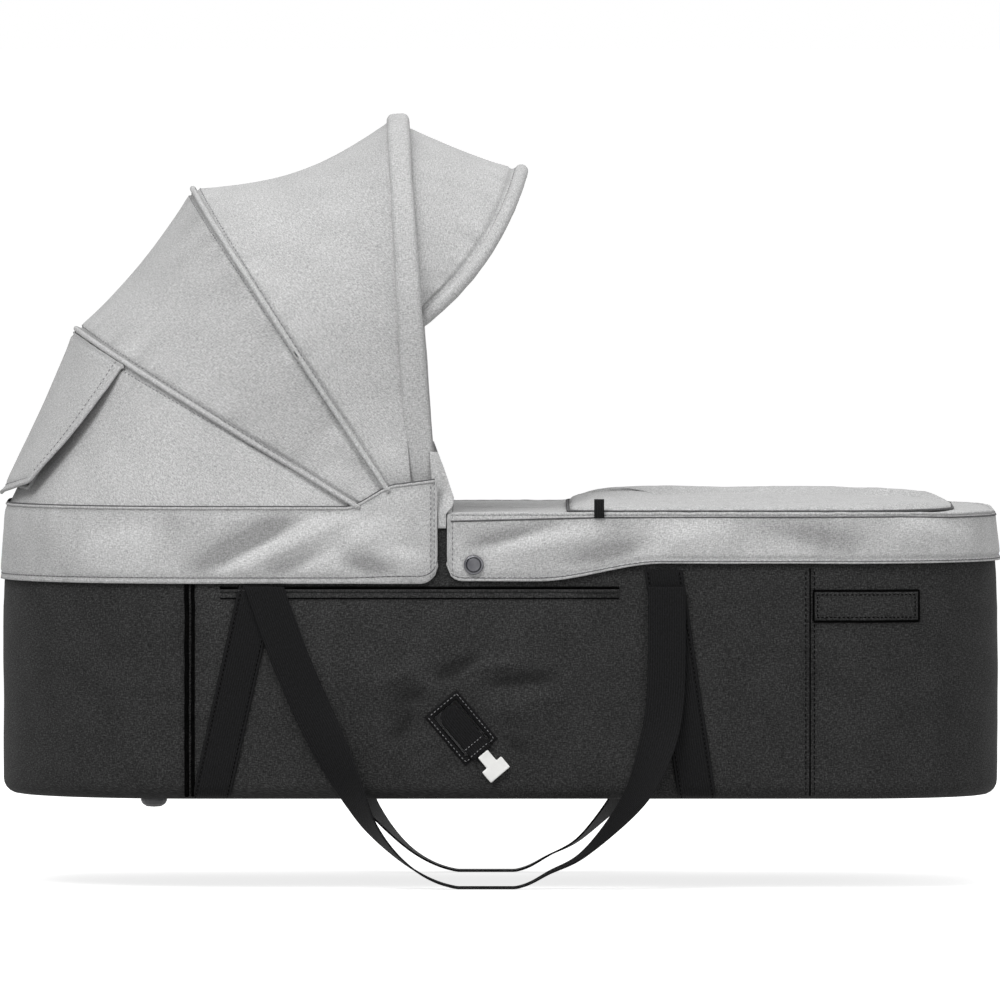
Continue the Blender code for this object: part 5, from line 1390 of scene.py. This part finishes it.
def make_skirt():
    """The band of canopy fabric round the head end, with its folds and double stitching."""
    hem = BAND_PROUD - float(lean_in(SKIRT_HEM_Z))
    rows = []
    for share in np.linspace(0, 1, 26):
        path = end_path(-1, between(hem, RIM_CLEAR, share) + 0.0014, SKIRT_FRONT_X, straight=0.002)
        low = rounded_hem(SKIRT_HEM_Z, SKIRT_CORNER, SKIRT_FRONT_X - path[:, 0])
        path[:, 2] = between(low, skirt_top(path[:, 0]), share)
        rows.append(path)
    skirt = Surface(rows, (-0.238, 0, SKIRT_HEM_Z))
    x, y, z = parts_of(skirt.points)
    low, high = skirt.edge_distance()
    front = SKIRT_FRONT_X - x
    fade = smooth_step(front / 0.02) * smooth_step(np.minimum(low, high) / 0.012)
    wander = noise_of(x / 0.050, z / 0.050, np.sign(y) * 2 + 13)
    heights = fade * (fold_heights(x, z, SKIRT_FOLDS) + 0.0012 * wander)
    heights += seam_heights(low - HEM_INSET, skirt.across, 61.0, 0.0012, 0.0014, 0.0008)
    heights += seam_heights(high, skirt.across, 63.0, 0.0014, 0.0030, 0.0010)
    heights += seam_heights(front - HEM_INSET, z, 65.0, 0.0012, 0.0014, 0.0010)
    # The skirt sinks no more than BAND_SINK, but its colour keeps the full depth of folds and seams as
    # painted shade
    clear = np.maximum(heights, -BAND_SINK) + 0.0006 * fade - heights
    skirt.push(heights, clear + 0.0004 * noise_of(x / 0.02, y / 0.02, z / 0.02))
    cloth("skirt", skirt, "grey_melange", "cot_body", ["canopy_skirt"])
    seam_cord("skirt_hem_shadow", skirt, 0.075, -0.0003, 0.0005, "painted_shadow_grey", "cot_body", cut=1)
    thread("skirt_thread_hem", skirt, "cot_body", row=0.075)
    for name, lift, radius, finish, up in (("piping", 0, 0.0011, "grey_melange", -0.0002),
                                           ("seam_shadow", -0.0006, 0.0009, "painted_shadow_grey", 0.0011)):
        seam_cord(f"skirt_{name}", skirt, 1.0, lift, radius, finish, "cot_body", cut=1, up=up)
    for place, name in ((1.2, "edge"), (2.6, "inner")):
        front_threads(f"skirt_thread_{name}", skirt, "cot_body", place)


# Apron


def apron_hem(x):
    """Height of the apron's hem, which rises towards the foot end."""
    start, stop = APRON_HEM_RISE_X
    return between(APRON_HEM_FRONT_Z, APRON_HEM_FOOT_Z, smooth_step((x - start) / (stop - start)))


def apron_rows():
    """Rows from the hem up the band, round the rim and over the deck, and how many are the band's."""
    hem = BAND_PROUD - float(lean_in(APRON_HEM_FRONT_Z))
    top = 0.0010 - WALL_LEAN
    rows = []
    for share in np.linspace(0, 1, 30):
        path = end_path(1, between(hem, top, share) + 0.0015, APRON_FRONT_X, straight=0.003)
        low = rounded_hem(apron_hem(path[:, 0]), APRON_CORNER, path[:, 0] - APRON_FRONT_X)
        path[:, 2] = between(low, APRON_SIDE_TOP, share)
        rows.append(path)
    for turn in quarter(5)[1:]:
        path = end_path(1, top + 0.0015 - APRON_ROUND * (1 - math.cos(turn)), APRON_FRONT_X, straight=0.003)
        path[:, 2] = APRON_SIDE_TOP + APRON_ROUND * math.sin(turn)
        rows.append(path)
    edge = rows[-1]
    spine = edge.copy()
    spine[:, 0] = np.minimum(edge[:, 0], HALF_LENGTH - HALF_WIDTH * 0.9)
    spine[:, 1] = 0
    deck = [edge * (1 - share) + spine * share for share in np.linspace(0, 1, 30)[1:]]
    return rows + deck, len(rows)


def make_apron():
    """The apron's band and deck as one sheet, with a corded seam round the rim."""
    rows, band_rows = apron_rows()
    cover = Surface(rows, (0.15, 0, 0.05))
    x, y, z = parts_of(cover.points)
    down, across = cover.down, cover.across
    front = x - APRON_FRONT_X
    side = z < APRON_SIDE_TOP
    wander = noise_of(x / 0.055, z / 0.055, np.sign(y) * 3 + 27)
    span = np.clip((z - apron_hem(x)) / (APRON_SIDE_TOP - apron_hem(x)), 0, 1)
    from_snap = np.hypot(x - SNAP_X, z - SNAP_Z) - 0.007
    folds = fold_heights(x, z, APRON_FOLDS) + 0.0012 * wander
    folds *= np.sin(math.pi * span) ** 0.5
    heights = np.where(side, folds * smooth_step(front / 0.015) * smooth_step(from_snap / 0.008), 0)
    heights += seam_heights(np.abs(down - down[band_rows - 3]), across, 71.0, 0.0012, 0.0020, 0.0010)
    heights += np.where(side, seam_heights(down - HEM_INSET, across, 73.0, 0.0012, 0.0014, 0.0008), 0)
    heights += np.where(side, seam_heights(front - HEM_INSET, z, 77.0, 0.0010, 0.0014, 0.0008), 0)
    deck = (~side) * smooth_step((HALF_WIDTH - np.abs(y)) / 0.03)
    soft = deck * (soft_heights(cover.points, 75.0, 0.06, 0.0012) - 0.0008)
    heights = np.where(down > down[band_rows], np.minimum(heights, DECK_RISE), heights)
    # The apron sinks no more than BAND_SINK, but its colour keeps the full depth of folds and seams as
    # painted shade
    clear = np.where(side, np.maximum(heights, -BAND_SINK) - heights, 0)
    cover.push(heights, clear + np.minimum(soft, DECK_RISE))
    cloth("apron_fabric", cover, "grey_melange", "apron", ["apron_cover"])
    last = len(rows) - 1
    seam_cord("apron_piping", cover, (band_rows - 2) / last, 0, 0.0015, "grey_melange", "apron", cut=1)
    line = cover.level_line(band_rows, np.interp(cover.points[0, :, 0], (-0.04, 0.08, 0.32, 0.36),
                                                 (0.2215, 0.2245, 0.2250, 0.2240)))
    piping("apron_seam_shadow", line[1:-1], 0.0007, "painted_shadow_grey", "apron")
    seam_cord("apron_hem_shadow", cover, 1.3 / last, -0.0003, 0.0005, "painted_shadow_grey", "apron", cut=1)
    for place, name in ((1.6, "hem"), (band_rows - 3.6, "seam")):
        thread(f"apron_thread_{name}", cover, "apron", row=place / last, cut=(2, 2))
    front_threads("apron_thread_front", cover, "apron", 1.4)


def pad_outline(inset, z):
    """The padded top's outline: rounded like the foot end and square at its fold."""
    turn_x = PAD_START_X + PAD_CORNER
    path = end_path(1, -PAD_SIDE_IN - inset, turn_x, z=z)
    reach = HALF_WIDTH - PAD_SIDE_IN - inset
    corner = np.array([(PAD_START_X + inset + (PAD_CORNER - inset) * (1 - math.sin(turn)),
                        reach - PAD_CORNER * (1 - math.cos(turn)), z) for turn in quarter(15)[1:]])
    start = corner[-1]
    front = np.array([(start[0], y, z) for y in np.linspace(start[1], -start[1], 50)[1:-1]])
    near = corner[::-1] * np.array((1, -1, 1))
    points = np.concatenate([path, corner, front, near])
    shorter = (HALF_LENGTH - PAD_FOOT_IN - turn_x) / (HALF_LENGTH - turn_x)
    ahead = points[:, 0] - turn_x
    points[:, 0] = np.where(ahead > 0, turn_x + ahead * shorter, points[:, 0])
    return points


def swell(item, pressure, cap, pinned, frames=20):
    """Inflate a closed piece with a cloth simulation and keep its points within cap."""
    start = np.array([vertex.co[:] for vertex in item.data.vertices])
    group = item.vertex_groups.new(name="held")
    group.add([int(k) for k in pinned], 1.0, "REPLACE")
    sim = item.modifiers.new("swell", "CLOTH")
    for key, value in (("quality", 5), ("mass", 0.25), ("tension_stiffness", 12),
                       ("compression_stiffness", 12), ("bending_stiffness", 0.4), ("use_pressure", True),
                       ("uniform_pressure_force", pressure)):
        setattr(sim.settings, key, value)
    sim.settings.effector_weights.gravity = 0
    sim.settings.vertex_group_mass = "held"
    scene = bpy.context.scene
    scene.frame_start, scene.frame_end = 1, frames
    sim.point_cache.frame_start, sim.point_cache.frame_end = 1, frames
    for number in range(1, frames + 1):
        scene.frame_set(number)
    graph = bpy.context.evaluated_depsgraph_get()
    moved = np.array([vertex.co[:] for vertex in item.evaluated_get(graph).data.vertices])
    item.modifiers.remove(sim)
    scene.frame_set(1)
    shift = moved - start
    size = np.maximum(np.linalg.norm(shift, axis=1, keepdims=True), 1e-9)
    final = start + shift / size * np.minimum(size, cap)
    item.data.vertices.foreach_set("co", final.ravel())
    item.data.update()


def layered_pad(name, rings, finish, pressure, cap, pinned_rings, seed, body, node):
    """A closed pad through rings, swelled between the rings that its seams hold."""
    grid = np.array(rings)
    pad = Surface(grid, grid.reshape(-1, 3).mean(axis=0), closed=True)
    x, y, z = parts_of(pad.points)
    middle = smooth_step((z - z.min()) / (z.max() - z.min()))
    level = np.full_like(x, seed)
    pad.points[..., 2] += middle * (0.0020 * noise_of(x / 0.075, y / 0.10, level)
                                    + 0.0005 * noise_of(x / 0.03, y / 0.03, level))
    item = surface_item(name, pad, finish, cap=True, cap_end=True)
    columns = grid.shape[1]
    swell(item, pressure, cap, [row * columns + k for row in pinned_rings for k in range(columns)])
    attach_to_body(item, body)
    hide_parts(node)


def pad_ring(inward, base, height):
    """The padding's outline drawn in by a share of the way to its middle, on the pad's crown."""
    edge = pad_outline(0.010, base)
    centre = (edge[:, 0].min() + edge[:, 0].max()) / 2
    half = edge[:, 0].max() - centre
    ring = edge.copy()
    ring[:, 0] = centre + (edge[:, 0] - centre) * (1 - inward * 0.55)
    ring[:, 1] *= 1 - inward
    crown = (np.maximum(1 - np.abs((ring[:, 0] - centre) / half) ** 4, 0)
             * np.maximum(1 - np.abs(ring[:, 1] / edge[:, 1].max()) ** 2.5, 0))
    ring[:, 2] = base + height * (1 + 0.62 * crown ** 0.6)
    return ring


def make_pad():
    """The quilted top of the apron: a crowned pad over a drawn-in edge."""
    base = DECK_Z + 0.0003
    rings = [pad_outline(inset, base + PAD_HEIGHT * rise)
             for inset, rise in ((0.025, 0), (0.004, 0), (0.0, 0.0), (-0.0008, 0.22), (-0.0006, 0.46),
                                 (0.0012, 0.70), (0.0050, 0.90))]
    rings += [pad_ring(inward, base, PAD_HEIGHT)
              for inward in (0.0, 0.03, 0.07, 0.12, 0.18, 0.26, 0.36, 0.48, 0.62, 0.76, 0.90)]
    layered_pad("apron_padding", rings, "grey_melange_pad", 2.2, 0.003, (0, 1, 2), 81.0, "apron",
                "apron_pad")
    # A dark cord under the pad's edge is painted shadow of the gap beneath it
    edge = pad_outline(-0.0008, base + PAD_HEIGHT * 0.08)
    piping("apron_pad_edge_shadow", ring_closed(edge), 0.0011, "painted_shadow_grey", "apron")


def make_tabs():
    """Folded webbing tabs at the start of the padding."""
    for side, sign in SIDES:
        node = f"apron_tab_{side}"
        low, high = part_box(node)
        inner, outer = near_and_far(node, sign)
        xs = np.linspace(low[0], high[0], 7)
        foot, top = low[2], high[2] - (0.012 if sign > 0 else 0.001)
        rows = [[(x, between(outer, inner, lean), z) for x in xs]
                for z, lean in ((foot, 0), (foot + 0.004, 0), (top - 0.010, 0.1), (top - 0.005, 0.35),
                                (top - 0.0015, 0.6), (top, 1))]
        tab = Surface(resample_grid(np.array(rows), 18, 7), (xs[3], 0, foot))
        small_cloth(f"tab_{side}", tab, "web_black", "apron", node, TAB_WEB)


# Inside


def make_facing():
    """The lining fabric on the inside of the wall, between the liner's top and the rim tube."""
    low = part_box("inner_liner")[1][2] - 0.025
    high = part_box("rim_frame")[0][2] - 0.0006
    rings = [outline(-0.0061 - float(lean_in(z)), z) for z in np.linspace(low, high, 12)]
    facing = Surface(rings, (0, 0, 0.1), closed=True)
    cloth("wall_facing", facing, "lining_jersey", "cot_body",
          thickness=FACING_CLOTH)


def make_liner():
    """The quilted liner: vertical channels up the wall and a bound top edge."""
    low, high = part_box("inner_liner")
    floor_inset = 0.014
    top_inset = HALF_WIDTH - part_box("canopy_hub_left")[0][1] + 0.0045
    wall_low, wall_high = low[2] + LINER_ROUND, high[2]
    rings = [outline(-inset, low[2] + 0.0028) for inset in (0.110, 0.060, 0.034)]
    rings += [outline(-floor_inset - 0.003 - LINER_ROUND * (1 - math.sin(turn)),
                      low[2] + 0.003 + LINER_ROUND * (1 - math.cos(turn))) for turn in quarter(5)]
    for share in np.linspace(0, 1, 34)[1:]:
        inset = floor_inset + 0.003 + (top_inset - floor_inset) * share
        rings.append(outline(-inset, wall_low + 0.003 + (wall_high - wall_low - 0.004) * share))
    liner = Surface(rings, (0, 0, 0.1), closed=True)
    along = liner.across[:, :liner.points.shape[1]] / liner.across[:, -1:]
    phase = np.abs(np.sin(along * math.pi * LINER_CHANNELS))
    wall = smooth_step((liner.points[..., 2] - wall_low) / 0.02)
    top = smooth_step((wall_high - 0.010 - liner.points[..., 2]) / 0.012)
    liner.push(-(0.0030 * np.sqrt(phase)) * wall * top + soft_heights(liner.points, 91.0, 0.03, 0.0006))
    item = surface_item("quilted_liner", liner, "lining_jersey", cap=True)
    thicken(item, LINER_CLOTH)
    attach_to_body(item, "cot_body")
    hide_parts("inner_liner")
    piping("liner_binding", ring_closed(liner.points[-1]), 0.0018, "web_black", "cot_body")


def make_mattress():
    """The mattress: a crowned pad with a piped edge, swelled between its seams."""
    low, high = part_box("mattress")
    inset = HALF_LENGTH - high[0]
    base, height = low[2], high[2] - low[2] - 0.006
    profile = ((0.05, 0.0), (0.006, 0.0), (0.001, 0.16), (0.0, 0.5), (0.001, 0.84), (0.006, 1.0),
               (0.014, 1.03), (0.024, 1.05), (0.036, 1.07), (0.050, 1.10), (0.064, 1.12), (0.078, 1.13),
               (0.092, 1.14))
    rings = [outline(-inset - reach, base + height * rise) for reach, rise in profile]
    layered_pad("mattress_cover", rings, "mattress_jersey", 3.0, 0.004, (0, 1, 5), 87.0, "cot_body",
                "mattress")
    ring = outline(-inset - 0.005, base + height * 0.98)
    piping("mattress_piping", ring_closed(ring), 0.0016, "mattress_jersey", "cot_body")


# Stage, light and camera


def seen_straight(tree, hidden, shown):
    """One strength for what the lens, a reflection or glass sees and another for the light on the cot."""
    rays = tree.nodes.new("ShaderNodeLightPath")
    socket = rays.outputs["Is Camera Ray"]
    for name in ("Is Glossy Ray", "Is Transmission Ray"):
        either = tree.nodes.new("ShaderNodeMath")
        either.operation = "MAXIMUM"
        tree.links.new(socket, either.inputs[0])
        tree.links.new(rays.outputs[name], either.inputs[1])
        socket = either.outputs[0]
    strength = tree.nodes.new("ShaderNodeMapRange")
    strength.inputs["To Min"].default_value = hidden
    strength.inputs["To Max"].default_value = shown
    tree.links.new(socket, strength.inputs["Value"])
    return strength.outputs["Result"]


def place_item(name, data, place, facing):
    """A lamp or camera at a place, facing along a direction."""
    item = bpy.data.objects.new(name, data)
    item.location = place
    item.rotation_euler = facing.to_track_quat("-Z", "Y").to_euler()
    bpy.context.scene.collection.objects.link(item)
    return item


def make_stage():
    """A pale floor under the cot, soft light and the photograph's long lens."""
    floor_z = CAD_LOW[2] - 0.0005
    points = [(x * FLOOR_HALF, y * FLOOR_HALF, floor_z) for x, y in ((-1, -1), (1, -1), (1, 1), (-1, 1))]
    nodes = Nodes("stage_paper", "grey_fabric")
    nodes.tint(nodes.grain("object", 40, 3), [(0.3, 0.56), (0.7, 0.60)])
    nodes.finish(0.95, Specular_IOR_Level=0.0, Emission_Color=(1, 1, 1, 1))
    nodes.link(seen_straight(nodes.tree, 0.0, PAPER_GLOW), nodes.shader.inputs["Emission Strength"])
    floor = mesh_item("studio_floor", points, [(0, 1, 2, 3)], None, "stage_paper")
    del floor["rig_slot"]

    scene = bpy.context.scene
    world = bpy.data.worlds.new("studio")
    world.use_nodes = True
    background = world.node_tree.nodes["Background"]
    background.inputs["Color"].default_value = (1, 1, 1, 1)
    strength = seen_straight(world.node_tree, WORLD_LIGHT, 1.0)
    world.node_tree.links.new(strength, background.inputs["Strength"])
    scene.world = world
    for name, place, size, power in LIGHTS:
        data = bpy.data.lights.new(name, "AREA")
        data.shape = "SQUARE"
        data.size = size
        data.energy = power
        place_item(name, data, place, Vector(LIGHT_TARGET) - Vector(place))

    camera = bpy.data.cameras.new("camera")
    camera.sensor_width = SENSOR_MM
    camera.lens = SENSOR_MM * VIEW_DISTANCE / VIEW_WIDTH
    camera.clip_start, camera.clip_end = CLIP_RANGE
    lift = math.radians(VIEW_ELEVATION_DEG)
    back = Vector((0, -math.cos(lift), math.sin(lift)))
    scene.camera = place_item("camera", camera, Vector((0, 0, VIEW_CENTRE_Z)) + back * VIEW_DISTANCE, -back)
    scene.view_settings.view_transform = "Standard"


make_finishes()
make_stage()
dress_nodes()
make_body()
make_ports()
make_straps()
make_patches()
make_handles()
make_anchors()
rear_panel = make_canopy()
make_vent_flap(rear_panel)
make_sleeve()
make_visor()
make_gussets()
make_skirt()
make_apron()
make_pad()
make_tabs()
make_facing()
make_liner()
make_mattress()
